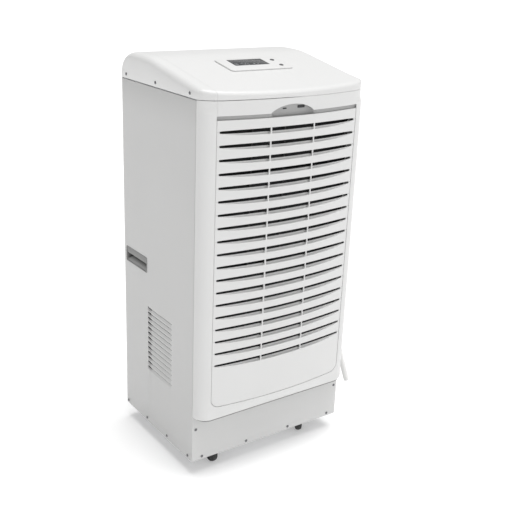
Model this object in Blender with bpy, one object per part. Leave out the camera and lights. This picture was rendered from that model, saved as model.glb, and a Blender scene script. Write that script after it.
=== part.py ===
"""Commercial dehumidifier on swivel casters, as an assembly of named sub-parts.

Metres, +Z up, front towards -Y. The origin is on the floor under the middle of the machine.
"""

import math

import bmesh
import bpy
from mathutils import Matrix, Vector

# Driving dimensions of the casing
WIDTH = 0.480
HALF = WIDTH / 2
CABINET_FRONT = -0.160
CABINET_BACK = 0.209
CABINET_BOTTOM = 0.045
SEAM_Z = 0.984
LID_TOP = 1.052
SHEET = 0.001
SHELL = 0.0025
GAP = 0.0003
SIDE_TOP = SEAM_Z - 0.0015
SIDE_LIP = 0.021
REAR_HALF = 0.2385
REAR_Y = CABINET_BACK + GAP + SHEET
SKIRT_LAP = 0.030
SIDES = (-1, 1)

# Front cover: a moulding whose front bows forward in plan
COVER_BOTTOM = 0.175
COVER_EDGE_Y = -0.191
COVER_BACK_Y = CABINET_FRONT - GAP
COVER_CORNER = 0.030
LOWER_CORNER = 0.014
BOW_AT_SEAM = 0.024
BOW_AT_FOOT = 0.0185
BOW_RAMP = 0.040
BOW_WIDTH = HALF - COVER_CORNER
BOW_STEPS = 10
CORNER_STEPS = 4

# Hinged intake grille in the front cover
PANEL_HALF = 0.205
PANEL_BOTTOM = 0.2105
PANEL_TOP = 0.940
PANEL_THICK = 0.003
PANEL_CORNER = 0.022
PANEL_CLEARANCE = 0.0015
HINGE_AHEAD = 0.0002
HINGE_RISE = 0.0005
SLOT_ROWS = 19
SLOT_LOW_Z = 0.327
SLOT_HIGH_Z = 0.913
SLOT_HALF_HEIGHT = 0.004
SLOT_END_X = 0.198
RIB_X = 0.065
RIB_HALF = 0.0025
GRIP_TOP = 0.969
GRIP_HALF = 0.063
BAND_TOP = 0.950
ARCH_STEPS = 10
RECESS_DEPTH = 0.0120

# Filter behind the grille
FILTER_Y = -0.1755
FILTER_THICK = 0.006
FILTER_HALF = 0.200
FILTER_LOW_Z = 0.214
FILTER_HIGH_Z = 0.925

# Lid
LID_SLOPE = 0.18
LID_KINK_Y = 0.075
LID_KINK_SOFTNESS = 0.012
LID_SIDE_FILLET = 0.010
LID_NOSE_FILLET = 0.009
LID_REAR_FILLET = 0.030

# Control panel on the lid's slope
BEZEL_CENTRE = (0.006, -0.0255)
BEZEL_SIZE = (0.184, 0.088)
BEZEL_THICK = 0.0035
BEZEL_HOLE = (0.172, 0.076)
BOARD_SIZE = (0.164, 0.066)
WINDOW_CENTRE = (-0.010, 0.012)
WINDOW_SIZE = (0.103, 0.046)
BUTTON_X = 0.068
BUTTON_YS = (0.019, -0.022)
BUTTON_RADIUS = 0.0055

# Side openings
HANDLE_Y = (0.080, 0.196)
HANDLE_Z = (0.492, 0.533)
HANDLE_DEPTH = 0.034
HANDLE_WALL = 0.002
HANDLE_CLEARANCE = 0.0005
FLANGE_THICK = 0.0012
FLANGE_MARGIN = 0.003
LOUVRE_Y = (-0.052, 0.077)
LOUVRE_LOW_Z = 0.219
LOUVRE_COUNT = 13
LOUVRE_PITCH = 0.0146
LOUVRE_HEIGHT = 0.006

# Back openings
OUTLET_X = 0.113
OUTLET_Z = (0.743, 0.828)
OUTLET_MARGIN = 0.010
OUTLET_SLATS = 7
OUTLET_BACK_Y = 0.215
GLAND_X = 0.170
GLAND_Z = 0.110

# Base pan and casters; each caster trails along its own heading
PAN_FLOOR_Z = 0.0700
PAN_WALL = 0.0015
PAN_TOP = PAN_FLOOR_Z + PAN_WALL
CASTER_X = 0.154
CASTER_YS = (-0.097, 0.160)
CASTER_TRAIL = 0.022
CASTER_HEADINGS = {"front_left": 267, "front_right": 240, "rear_left": 252, "rear_right": 246}
PLATE_HALF = 0.029
PLATE_LOW = PAN_FLOOR_Z - GAP - 0.0025
FORK_TOP = PLATE_LOW - 0.0005
WHEEL_RADIUS = 0.025
WHEEL_WIDTH = 0.022
AXLE_RADIUS = 0.0030

# Air path
EVAPORATOR_Y = -0.131
CONDENSER_Y = -0.085
COIL_THICK = 0.038
COIL_X = (-0.190, 0.185)
COIL_Z = (0.440, 0.925)
SHELF_Z = 0.395
BLOWER_AXIS = (0.060, 0.700)
SCROLL_TOP = 0.125
SCROLL_END = 0.092
SCROLL_SWEEP = math.radians(300)
SCROLL_HALF_WIDTH = 0.110
DUCT_END_Y = 0.2055
INLET_RADIUS = 0.066
FAN_RADIUS = 0.080
FAN_INNER = 0.066
FAN_HALF_WIDTH = 0.095
FAN_BLADES = 14
SHAFT_RADIUS = 0.005
MOTOR_RADIUS = 0.043
MOTOR_LENGTH = 0.060

# Refrigeration circuit
COMPRESSOR = (-0.095, 0.070)
COMPRESSOR_BASE = 0.0855
COMPRESSOR_RADIUS = 0.065
COMPRESSOR_HEIGHT = 0.230
FOOT_CIRCLE = 0.074
ACCUMULATOR = (0.015, 0.085)
ACCUMULATOR_BASE = 0.105
PIPE_RADIUS = 0.0048
LIQUID_PIPE_RADIUS = 0.0035
CAPILLARY_RADIUS = 0.0013
COIL_PLATE = 0.0015
COIL_BENDS = 6

# Condensate drain on the right side
DRAIN_Y = -0.129
DRAIN_Z = 0.238
DRAIN_RADIUS = 0.008
ELBOW_END = (0.2700, DRAIN_Y, 0.2240)
HOSE_END = (0.3055, -0.130, 0.1215)
HOSE_GAP = 0.00045

# Surfaces: base colour, roughness, metallic
WHITE_PAINT = ((0.86, 0.86, 0.86), 0.40, 0.0)
WHITE_PLASTIC = ((0.88, 0.88, 0.88), 0.35, 0.0)
GREY_PLASTIC = ((0.52, 0.52, 0.51), 0.50, 0.0)
DARK_PLASTIC = ((0.03, 0.03, 0.035), 0.45, 0.0)
DISPLAY = ((0.03, 0.035, 0.04), 0.12, 0.0)
FILTER_NYLON = ((0.12, 0.12, 0.12), 0.80, 0.0)
GALVANISED = ((0.60, 0.61, 0.62), 0.42, 0.9)
STEEL = ((0.62, 0.62, 0.62), 0.30, 1.0)
FINS = ((0.75, 0.76, 0.78), 0.35, 0.9)
COPPER = ((0.72, 0.38, 0.24), 0.30, 1.0)
BLACK_PAINT = ((0.02, 0.02, 0.022), 0.45, 0.0)
BLACK_RUBBER = ((0.03, 0.03, 0.03), 0.85, 0.0)
CIRCUIT_GREEN = ((0.03, 0.20, 0.08), 0.45, 0.0)
HOSE_WHITE = ((0.85, 0.86, 0.85), 0.45, 0.0)


def clear_scene():
    """Start from an empty scene."""
    for leftover in list(bpy.data.objects):
        bpy.data.objects.remove(leftover, do_unlink=True)


def make_material(name, colour, roughness, metallic=0.0):
    """Principled material with the part's base colour."""
    made = bpy.data.materials.new(name)
    made.use_nodes = True
    shader = made.node_tree.nodes["Principled BSDF"]
    shader.inputs["Base Color"].default_value = (*colour, 1.0)
    shader.inputs["Roughness"].default_value = roughness
    shader.inputs["Metallic"].default_value = metallic
    made.diffuse_color = (*colour, 1.0)
    return made


def publish(name, bm, surface, origin=(0.0, 0.0, 0.0), parent=None, smooth=False):
    """Turn world-space geometry into a named object whose origin is at `origin`."""
    bmesh.ops.recalc_face_normals(bm, faces=bm.faces)
    origin = Vector(origin)
    bmesh.ops.translate(bm, verts=bm.verts, vec=-origin)
    mesh = bpy.data.meshes.new(name)
    bm.to_mesh(mesh)
    bm.free()
    if smooth:
        mesh.shade_smooth()
        mesh.set_sharp_from_angle(angle=math.radians(35))
    made = bpy.data.objects.new(name, mesh)
    bpy.context.scene.collection.objects.link(made)
    mesh.materials.append(make_material(name, *surface))
    made.location = origin
    if parent is not None:
        made.parent = parent
        made.location = origin - Vector(parent.location)
    return made


def make_empty(name, location):
    """Joint frame that moving pieces hang from."""
    made = bpy.data.objects.new(name, None)
    made.location = location
    bpy.context.scene.collection.objects.link(made)
    return made


def combine(target, tool_bm, name, operation="DIFFERENCE"):
    """Boolean `target` with a hidden helper solid."""
    bmesh.ops.recalc_face_normals(tool_bm, faces=tool_bm.faces)
    mesh = bpy.data.meshes.new(name)
    tool_bm.to_mesh(mesh)
    tool_bm.free()
    tool = bpy.data.objects.new(name, mesh)
    bpy.context.scene.collection.objects.link(tool)
    tool.hide_render = True
    tool.display_type = "WIRE"
    modifier = target.modifiers.new(name, "BOOLEAN")
    modifier.operation = operation
    modifier.object = tool


def add_box(bm, low, high):
    """Axis-aligned box from its lowest corner to its highest."""
    low = Vector(low)
    high = Vector(high)
    size = high - low
    place = Matrix.Translation((low + high) / 2) @ Matrix.Diagonal((*size, 1.0))
    bmesh.ops.create_cube(bm, size=1.0, matrix=place)


def add_loft(bm, rings):
    """Closed skin through rings of equal point count, capped at both ends."""
    rows = [[bm.verts.new(point) for point in ring] for ring in rings]
    count = len(rows[0])
    for lower, upper in zip(rows, rows[1:]):
        for index in range(count):
            following = (index + 1) % count
            bm.faces.new((lower[index], lower[following], upper[following], upper[index]))
    bm.faces.new(list(reversed(rows[0])))
    bm.faces.new(rows[-1])


def add_prism(bm, outline, place, start, end):
    """Extrude a 2-D outline: place(a, b, t) puts outline point (a, b) at distance t."""
    add_loft(bm, [[place(a, b, t) for a, b in outline] for t in (start, end)])


def along_x(a, b, t):
    return (t, a, b)


def along_y(a, b, t):
    return (a, t, b)


def along_z(a, b, t):
    return (a, b, t)


def add_lattice(bm, cells, filled, point, wrap=False):
    """Skin the filled cells of a grid whose corners are placed by point(i, j, k)."""
    corners = {}

    def corner(i, j, k):
        key = (i % cells[0] if wrap else i, j, k)
        if key not in corners:
            corners[key] = bm.verts.new(point(*key))
        return corners[key]

    def occupied(i, j, k):
        if wrap:
            i %= cells[0]
        inside = 0 <= i < cells[0] and 0 <= j < cells[1] and 0 <= k < cells[2]
        return inside and filled(i, j, k)

    sides = {
        (-1, 0, 0): ((0, 0, 0), (0, 0, 1), (0, 1, 1), (0, 1, 0)),
        (1, 0, 0): ((1, 0, 0), (1, 1, 0), (1, 1, 1), (1, 0, 1)),
        (0, -1, 0): ((0, 0, 0), (1, 0, 0), (1, 0, 1), (0, 0, 1)),
        (0, 1, 0): ((0, 1, 0), (0, 1, 1), (1, 1, 1), (1, 1, 0)),
        (0, 0, -1): ((0, 0, 0), (0, 1, 0), (1, 1, 0), (1, 0, 0)),
        (0, 0, 1): ((0, 0, 1), (1, 0, 1), (1, 1, 1), (0, 1, 1)),
    }
    for i in range(cells[0]):
        for j in range(cells[1]):
            for k in range(cells[2]):
                if not occupied(i, j, k):
                    continue
                for step, loop in sides.items():
                    if occupied(i + step[0], j + step[1], k + step[2]):
                        continue
                    bm.faces.new([corner(i + a, j + b, k + c) for a, b, c in loop])


def add_turned(bm, profile, segments, place):
    """Solid of revolution from (radius, height) points, with +Z put on its axis by `place`.

    A profile that starts and ends on the axis is a solid; otherwise it is a closed ring section.
    """
    on_axis = profile[0][0] == 0.0
    rows = []
    for radius, height in profile:
        if radius == 0.0:
            rows.append([bm.verts.new(place @ Vector((0.0, 0.0, height)))])
            continue
        row = []
        for index in range(segments):
            angle = 2 * math.pi * index / segments
            spot = Vector((radius * math.cos(angle), radius * math.sin(angle), height))
            row.append(bm.verts.new(place @ spot))
        rows.append(row)
    pairs = list(zip(rows, rows[1:]))
    if not on_axis:
        pairs.append((rows[-1], rows[0]))
    for first, second in pairs:
        for index in range(segments):
            following = (index + 1) % segments
            ring = [first[index % len(first)], first[following % len(first)]]
            ring += [second[following % len(second)], second[index % len(second)]]
            bm.faces.new(list(dict.fromkeys(ring)))


def axis_frame(position, direction):
    """Matrix whose +Z points along `direction` from `position`."""
    turn = Vector(direction).to_track_quat("Z", "Y").to_matrix().to_4x4()
    return Matrix.Translation(Vector(position)) @ turn


def add_cylinder(bm, start, end, radius, segments):
    """Capped cylinder between two points."""
    start = Vector(start)
    run = Vector(end) - start
    profile = [(0.0, 0.0), (radius, 0.0), (radius, run.length), (0.0, run.length)]
    add_turned(bm, profile, segments, axis_frame(start, run))


def smooth_route(points, spacing):
    """Points at about `spacing` along a Catmull-Rom curve through the route's own points."""
    route = [Vector(point) for point in points]
    ends = [route[0] * 2 - route[1], *route, route[-1] * 2 - route[-2]]
    result = [route[0]]
    for before, start, end, after in zip(ends, ends[1:], ends[2:], ends[3:]):
        steps = max(1, round((end - start).length / spacing))
        for step in range(1, steps + 1):
            t = step / steps
            result.append(
                0.5 * (
                    2 * start
                    + (end - before) * t
                    + (2 * before - 5 * start + 4 * end - after) * t ** 2
                    + (3 * start - before - 3 * end + after) * t ** 3
                )
            )
    return result


def make_tube(name, points, radius, surface, spacing):
    """Pipe or hose as a curve with a round bevel and filled caps."""
    curve = bpy.data.curves.new(name, "CURVE")
    curve.dimensions = "3D"
    curve.bevel_depth = radius
    curve.bevel_resolution = 2
    curve.use_fill_caps = True
    spline = curve.splines.new("POLY")
    route = smooth_route(points, spacing)
    spline.points.add(len(route) - 1)
    for spot, position in zip(spline.points, route):
        spot.co = (*position, 1.0)
    made = bpy.data.objects.new(name, curve)
    bpy.context.scene.collection.objects.link(made)
    curve.materials.append(make_material(name, *surface))
    return made


def bow(z):
    """How far the middle of the front stands forward of its edges at height z."""
    rise = max(0.0, min(1.0, (z - COVER_BOTTOM) / (SEAM_Z - COVER_BOTTOM)))
    below = max(0.0, 1 - max(0.0, z - COVER_BOTTOM) / BOW_RAMP)
    return (BOW_AT_FOOT + (BOW_AT_SEAM - BOW_AT_FOOT) * rise) * (1 - below ** 1.6)


def front_y(x, z):
    """Outer surface of the front moulding between its rounded vertical corners."""
    return COVER_EDGE_Y - bow(z) * (1 - (x / BOW_WIDTH) ** 2)


def front_outline(z, half, inset, back_y):
    """Plan curve of the front at height z, from the left side round to the right side."""
    half -= inset
    arc_half = half - COVER_CORNER + inset
    middle = []
    for step in range(BOW_STEPS + 1):
        x = arc_half * (2 * step / BOW_STEPS - 1)
        middle.append((x, front_y(x, z) + inset))
    start = Vector(middle[-1])
    slope = 2 * bow(z) * arc_half / BOW_WIDTH ** 2
    reach = 0.55 * COVER_CORNER
    controls = (
        start,
        start + Vector((1.0, slope)).normalized() * reach,
        Vector((half, COVER_BACK_Y - reach)),
        Vector((half, back_y)),
    )
    corner = []
    for step in range(1, CORNER_STEPS + 1):
        t = step / CORNER_STEPS
        weights = ((1 - t) ** 3, 3 * t * (1 - t) ** 2, 3 * t ** 2 * (1 - t), t ** 3)
        spot = sum((w * c for w, c in zip(weights, controls)), Vector((0.0, 0.0)))
        corner.append((spot.x, spot.y))
    left = [(-x, y) for x, y in reversed(corner)]
    return left + middle + corner


def cover_half_width(z):
    """Half width of the cover, drawn in round its lower corners."""
    height = min(LOWER_CORNER, z - COVER_BOTTOM)
    return HALF - LOWER_CORNER + math.sqrt(LOWER_CORNER ** 2 - (LOWER_CORNER - height) ** 2)


def cover_rings(low, high, inset, back_y):
    """Horizontal rings of the cover's outer or inner surface."""
    heights = [low + LOWER_CORNER * part for part in (0.0, 0.08, 0.3, 0.65, 1.0)]
    heights += [low + BOW_RAMP * part for part in (0.55, 0.75, 1.0)]
    tall = high - heights[-1]
    heights += [heights[-1] + tall * part for part in (0.15, 0.35, 0.6, 0.8, 1.0)]
    rings = []
    for z in heights:
        half = cover_half_width(z - low + COVER_BOTTOM)
        rings.append([(x, y, z) for x, y in front_outline(z, half, inset, back_y)])
    return rings


def cover_opening():
    """Grille opening as (x, z) points: rounded lower corners, and an arch over the middle."""
    half = PANEL_HALF + PANEL_CLEARANCE
    low = PANEL_BOTTOM - PANEL_CLEARANCE
    corner = PANEL_CORNER + PANEL_CLEARANCE
    points = [(half, BAND_TOP)]
    for step in range(ARCH_STEPS + 1):
        angle = math.pi * step / ARCH_STEPS
        z = BAND_TOP + (GRIP_TOP - BAND_TOP) * math.sin(angle)
        points.append((GRIP_HALF * math.cos(angle), z))
    points.append((-half, BAND_TOP))
    for sign in (-1, 1):
        arc = []
        for step in range(CORNER_STEPS + 1):
            angle = math.pi / 2 * step / CORNER_STEPS
            x = half - corner + corner * math.cos(angle)
            arc.append((sign * x, low + corner - corner * math.sin(angle)))
        points += arc if sign < 0 else reversed(arc)
    return points


def build_front_cover():
    bm = bmesh.new()
    top = SEAM_Z - GAP
    add_loft(bm, cover_rings(COVER_BOTTOM, top, 0.0, COVER_BACK_Y))
    cover = publish("front_cover", bm, WHITE_PLASTIC)
    bm = bmesh.new()
    open_back = COVER_BACK_Y + 0.010
    add_loft(bm, cover_rings(COVER_BOTTOM + SHELL, top - SHELL, SHELL, open_back))
    combine(cover, bm, "cover_hollow_cutter")
    bm = bmesh.new()
    add_prism(bm, cover_opening(), along_y, -0.240, -0.172)
    combine(cover, bm, "cover_opening_cutter")


def build_grip_recess():
    """Bowed grey floor behind the band and the arch above the grille."""
    columns = 10
    half = PANEL_HALF + 0.0005
    low = PANEL_TOP - 0.008
    heights = (low, GRIP_TOP + 0.004)

    def point(i, j, k):
        x = half * (2 * i / columns - 1)
        return (x, front_y(x, GRIP_TOP) + RECESS_DEPTH + 0.002 * k, heights[j])

    bm = bmesh.new()
    add_lattice(bm, (columns, 1, 1), lambda i, j, k: True, point)
    publish("grip_recess", bm, GREY_PLASTIC)


def build_grille_panel():
    """Bowed louvred panel on its own joint frame along its lower edge."""
    column_steps = 3
    outer = [-PANEL_HALF, -SLOT_END_X]
    span = SLOT_END_X - RIB_X - RIB_HALF
    side = [-SLOT_END_X + span * (step + 1) / column_steps for step in range(column_steps)]
    centre_half = RIB_X - RIB_HALF
    middle = [centre_half * (2 * step / column_steps - 1) for step in range(column_steps + 1)]
    xs = outer + side + middle
    xs += [-x for x in reversed(outer + side)]
    centres = [(left + right) / 2 for left, right in zip(xs, xs[1:])]
    rib_columns = {index for index, x in enumerate(centres) if abs(abs(x) - RIB_X) < RIB_HALF}
    pitch = (SLOT_HIGH_Z - SLOT_LOW_Z) / (SLOT_ROWS - 1)

    def row_height(row, x):
        if row == 0:
            reach = max(0.0, abs(x) - (PANEL_HALF - PANEL_CORNER))
            return PANEL_BOTTOM + PANEL_CORNER - math.sqrt(PANEL_CORNER ** 2 - reach ** 2)
        if row == 2 * SLOT_ROWS + 1:
            return PANEL_TOP
        slot = (row - 1) // 2
        side_sign = 1 if row % 2 == 0 else -1
        taper = math.sqrt(max(0.02, 1 - (x / SLOT_END_X) ** 2))
        return SLOT_LOW_Z + pitch * slot + side_sign * SLOT_HALF_HEIGHT * taper

    def point(i, j, k):
        x = xs[i]
        z = row_height(j, x)
        return (x, front_y(x, z) + k * PANEL_THICK, z)

    def filled(i, j, k):
        slot_row = j % 2 == 1
        slot_column = 0 < i < len(xs) - 2 and i not in rib_columns
        return not (slot_row and slot_column)

    hinge_y = front_y(0.0, PANEL_BOTTOM) - HINGE_AHEAD
    hinge = make_empty("grille_hinge", (0.0, hinge_y, PANEL_BOTTOM + HINGE_RISE))
    bm = bmesh.new()
    add_lattice(bm, (len(xs) - 1, 2 * SLOT_ROWS + 1, 1), filled, point)
    publish("grille_panel", bm, WHITE_PLASTIC, hinge.location, hinge)


def build_filter():
    """Filter frame with its ribs, the nylon mesh behind it and the channels it lifts in."""
    columns = 4
    rows = 6
    rim = 0.010
    rib = 0.004

    def lines(low, high, bays):
        inner = high - low - 2 * rim
        bay = (inner - (bays - 1) * rib) / bays
        places = [low]
        for index in range(bays):
            start = low + rim + index * (bay + rib)
            places += [start, start + bay]
        return places + [high]

    xs = lines(-FILTER_HALF, FILTER_HALF, columns)
    zs = lines(FILTER_LOW_Z, FILTER_HIGH_Z, rows)
    mesh_start = FILTER_Y + FILTER_THICK - 0.0011

    slide = make_empty("filter_slide", (0.0, FILTER_Y, FILTER_LOW_Z))
    bm = bmesh.new()
    add_lattice(
        bm,
        (len(xs) - 1, len(zs) - 1, 1),
        lambda i, j, k: i % 2 == 0 or j % 2 == 0,
        lambda i, j, k: (xs[i], (FILTER_Y, mesh_start - GAP)[k], zs[j]),
    )
    publish("filter_frame", bm, GREY_PLASTIC, slide.location, slide)
    bm = bmesh.new()
    inset = 0.004
    add_box(
        bm,
        (-FILTER_HALF + inset, mesh_start, FILTER_LOW_Z + inset),
        (FILTER_HALF - inset, mesh_start + 0.0008, FILTER_HIGH_Z - inset),
    )
    publish("filter_mesh", bm, FILTER_NYLON, slide.location, slide)
    slack = 0.0008
    wall = 0.002
    front = FILTER_Y - slack
    back = FILTER_Y + FILTER_THICK + slack
    ys = (front - wall, front, back, back + wall)
    tip = FILTER_HALF - 0.006
    web = FILTER_HALF + slack
    xs = (-web - wall, -web, -tip, tip, web, web + wall)
    zs = (FILTER_LOW_Z - slack - wall, FILTER_LOW_Z - slack, FILTER_LOW_Z + 0.006, FILTER_HIGH_Z)

    def channel(i, j, k):
        beside = i in (0, 4)
        below = j == 0
        lip = i in (1, 3) or (i == 2 and j == 1)
        return beside or below or (lip and k in (0, 2))

    bm = bmesh.new()
    add_lattice(bm, (5, 3, 3), channel, lambda i, j, k: (xs[i], ys[k], zs[j]))
    publish("filter_guide", bm, WHITE_PLASTIC)


def lid_height(y):
    """Top of the lid along its middle: flat at the back, sloping down to the front."""
    ahead = (LID_KINK_Y - y) / LID_KINK_SOFTNESS
    softened = ahead if ahead > 30 else math.log1p(math.exp(ahead))
    return LID_TOP - LID_SLOPE * LID_KINK_SOFTNESS * softened


def fillet_drop(distance, radius):
    """Fall of a quarter-round edge at a distance in from the edge."""
    if distance >= radius:
        return 0.0
    return radius - math.sqrt(radius ** 2 - (radius - max(0.0, distance)) ** 2)


def add_lid_surface(bm, inset, base_z):
    """Closed solid under the lid's surface, `inset` inside the outer one, down to base_z."""
    outline = front_outline(SEAM_Z, HALF, inset, COVER_BACK_Y)
    rear = CABINET_BACK - inset
    steps = [0.0, 0.008, 0.025, 0.06, 0.2, 0.4, 0.58, 0.66, 0.72, 0.78]
    steps += [0.85, 0.91, 0.955, 0.985, 1.0]
    columns = len(outline) - 1
    rows = len(steps) - 1

    def point(i, j, k):
        x, front = outline[i]
        y = front + (rear - front) * steps[j]
        if k == 0:
            return (x, y, base_z)
        side = fillet_drop(HALF - inset - abs(x), LID_SIDE_FILLET)
        nose = fillet_drop(y - front, LID_NOSE_FILLET)
        tail = fillet_drop(rear - y, LID_REAR_FILLET)
        return (x, y, lid_height(y) - inset - max(side, nose, tail))

    add_lattice(bm, (columns, rows, 1), lambda i, j, k: True, point)


def bezel_frame():
    """Matrix of the control panel: origin on the lid's slope, +Z out of it."""
    tilt = math.atan(LID_SLOPE)
    x, y = BEZEL_CENTRE
    centre = Vector((x, y, lid_height(y)))
    return Matrix.Translation(centre) @ Matrix.Rotation(tilt, 4, "X")


def rounded_rectangle(centre, size, radius, steps=3):
    """Outline of a rectangle with round corners, as (x, y) points."""
    points = []
    for turn in range(4):
        angle = math.pi / 2 * turn
        sx = 1 if turn in (0, 3) else -1
        sy = 1 if turn < 2 else -1
        cx = centre[0] + sx * (size[0] / 2 - radius)
        cy = centre[1] + sy * (size[1] / 2 - radius)
        for step in range(steps + 1):
            a = angle + math.pi / 2 * step / steps
            points.append((cx + radius * math.cos(a), cy + radius * math.sin(a)))
    return points


def panel_prism(bm, outline, low, high):
    """Extrude an outline drawn on the control panel's plane along its normal."""
    frame = bezel_frame()
    add_prism(bm, outline, lambda a, b, t: frame @ Vector((a, b, t)), low, high)


def circle(centre, radius, segments):
    turns = [2 * math.pi * index / segments for index in range(segments)]
    return [(centre[0] + radius * math.cos(a), centre[1] + radius * math.sin(a)) for a in turns]


def build_lid():
    bm = bmesh.new()
    add_lid_surface(bm, 0.0, SEAM_Z)
    lid = publish("top_lid", bm, WHITE_PLASTIC)
    bm = bmesh.new()
    add_lid_surface(bm, SHELL, SEAM_Z - 0.010)
    combine(lid, bm, "lid_hollow_cutter")
    bm = bmesh.new()
    panel_prism(bm, rounded_rectangle((0.0, 0.0), BEZEL_HOLE, 0.004, 1), -0.008, 0.004)
    combine(lid, bm, "lid_panel_cutter")


def build_controls():
    bm = bmesh.new()
    panel_prism(bm, rounded_rectangle((0.0, 0.0), BEZEL_SIZE, 0.009), GAP + 0.0002, BEZEL_THICK)
    bezel = publish("control_bezel", bm, WHITE_PLASTIC)
    bm = bmesh.new()
    panel_prism(bm, rounded_rectangle(WINDOW_CENTRE, WINDOW_SIZE, 0.002, 1), -0.002, 0.006)
    for y in BUTTON_YS:
        panel_prism(bm, circle((BUTTON_X, y), BUTTON_RADIUS + 0.0004, 12), -0.002, 0.006)
    combine(bezel, bm, "bezel_openings_cutter")
    bm = bmesh.new()
    window = (WINDOW_SIZE[0] - 0.0008, WINDOW_SIZE[1] - 0.0008)
    panel_prism(bm, rounded_rectangle(WINDOW_CENTRE, window, 0.002, 1), -0.002, 0.0024)
    publish("display_window", bm, DISPLAY)
    frame = bezel_frame()
    for name, y in zip(("button_upper", "button_lower"), BUTTON_YS):
        joint = make_empty(name + "_slide", frame @ Vector((BUTTON_X, y, 0.0)))
        bm = bmesh.new()
        profile = [
            (0.0, 0.0048), (BUTTON_RADIUS - 0.001, 0.0048), (BUTTON_RADIUS, 0.0040),
            (BUTTON_RADIUS, -0.0010), (0.002, -0.0010), (0.002, -0.0090), (0.0, -0.0090),
        ]
        place = frame @ Matrix.Translation((BUTTON_X, y, 0.0))
        add_turned(bm, profile, 12, place)
        publish(name, bm, GREY_PLASTIC, joint.location, joint, smooth=True)
    bm = bmesh.new()
    panel_prism(bm, rounded_rectangle((0.0, 0.0), BOARD_SIZE, 0.002, 1), -0.0132, -0.0116)
    publish("control_board", bm, CIRCUIT_GREEN)


def build_side_panel(sign):
    """Folded side sheet with a front and a rear return, louvres and a handle opening."""
    outer = sign * HALF
    inner = sign * (HALF - SHEET)
    lip = sign * (HALF - SIDE_LIP)
    front = CABINET_FRONT + SHEET + GAP
    outline = [
        (outer, front), (lip, front), (lip, front + SHEET), (inner, front + SHEET),
        (inner, CABINET_BACK - SHEET), (lip, CABINET_BACK - SHEET), (lip, CABINET_BACK),
        (outer, CABINET_BACK),
    ]
    name = "left_side_panel" if sign < 0 else "right_side_panel"
    bm = bmesh.new()
    add_prism(bm, outline, along_z, CABINET_BOTTOM, SIDE_TOP)
    panel = publish(name, bm, WHITE_PAINT)
    bm = bmesh.new()
    across = sorted((outer - sign * 0.005, outer + sign * 0.005))
    for index in range(LOUVRE_COUNT):
        low = LOUVRE_LOW_Z + index * LOUVRE_PITCH
        add_box(bm, (across[0], LOUVRE_Y[0], low), (across[1], LOUVRE_Y[1], low + LOUVRE_HEIGHT))
    add_box(bm, (across[0], HANDLE_Y[0], HANDLE_Z[0]), (across[1], HANDLE_Y[1], HANDLE_Z[1]))
    if sign > 0:
        radius = DRAIN_RADIUS + 0.0010
        add_cylinder(bm, (across[0], DRAIN_Y, DRAIN_Z), (across[1], DRAIN_Y, DRAIN_Z), radius, 10)
    combine(panel, bm, name + "_opening_cutter")


def build_handle(sign):
    """Moulded finger pocket: a cup through the side sheet and a flange on the sheet's face."""
    name = "handle_left" if sign < 0 else "handle_right"
    face = HALF + GAP
    bottom = HALF - HANDLE_DEPTH
    low_y, high_y = HANDLE_Y
    low_z, high_z = HANDLE_Z

    def slab(bm, near, far, grow):
        xs = sorted((sign * near, sign * far))
        add_box(bm, (xs[0], low_y - grow, low_z - grow), (xs[1], high_y + grow, high_z + grow))

    bm = bmesh.new()
    slab(bm, bottom, face + FLANGE_THICK, -HANDLE_CLEARANCE)
    pocket = publish(name, bm, GREY_PLASTIC)
    bm = bmesh.new()
    slab(bm, face, face + FLANGE_THICK, FLANGE_MARGIN)
    combine(pocket, bm, name + "_flange", "UNION")
    bm = bmesh.new()
    slab(bm, bottom + HANDLE_WALL, face + 0.004, -HANDLE_CLEARANCE - HANDLE_WALL)
    combine(pocket, bm, name + "_hollow_cutter")


def build_casing():
    bm = bmesh.new()
    low = CABINET_BOTTOM + 0.001
    half = HALF - SHEET - GAP
    front = CABINET_FRONT + 2 * SHEET + 2 * GAP
    back = CABINET_BACK - SHEET - GAP
    add_box(bm, (-half, front, low), (half, back, PAN_TOP))
    pan = publish("base_pan", bm, GALVANISED)
    bm = bmesh.new()
    hollow_low = (-half + PAN_WALL, front + PAN_WALL, low - 0.01)
    add_box(bm, hollow_low, (half - PAN_WALL, back - PAN_WALL, PAN_FLOOR_Z))
    combine(pan, bm, "pan_hollow_cutter")

    bm = bmesh.new()
    front_low = (-HALF, CABINET_FRONT, CABINET_BOTTOM)
    add_box(bm, front_low, (HALF, CABINET_FRONT + SHEET, COVER_BOTTOM + SKIRT_LAP))
    publish("front_skirt", bm, WHITE_PAINT)

    bm = bmesh.new()
    rear_low = (-REAR_HALF, CABINET_BACK + GAP, CABINET_BOTTOM)
    add_box(bm, rear_low, (REAR_HALF, REAR_Y, SEAM_Z - GAP))
    rear = publish("rear_panel", bm, WHITE_PAINT)
    bm = bmesh.new()
    add_box(bm, (-OUTLET_X, 0.20, OUTLET_Z[0]), (OUTLET_X, 0.22, OUTLET_Z[1]))
    add_cylinder(bm, (GLAND_X, 0.20, GLAND_Z), (GLAND_X, 0.22, GLAND_Z), 0.0085, 10)
    combine(rear, bm, "rear_opening_cutter")

    band = (0.960, 0.996)
    side = HALF - SHELL - 0.0005
    bm = bmesh.new()
    add_box(bm, (-side, -0.156, band[0]), (side, 0.2045, band[1]))
    top_frame = publish("top_frame", bm, GALVANISED)
    bm = bmesh.new()
    add_box(bm, (-side + 0.0012, -0.1548, 0.95), (side - 0.0012, 0.2033, 1.01))
    combine(top_frame, bm, "top_frame_hollow_cutter")


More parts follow.
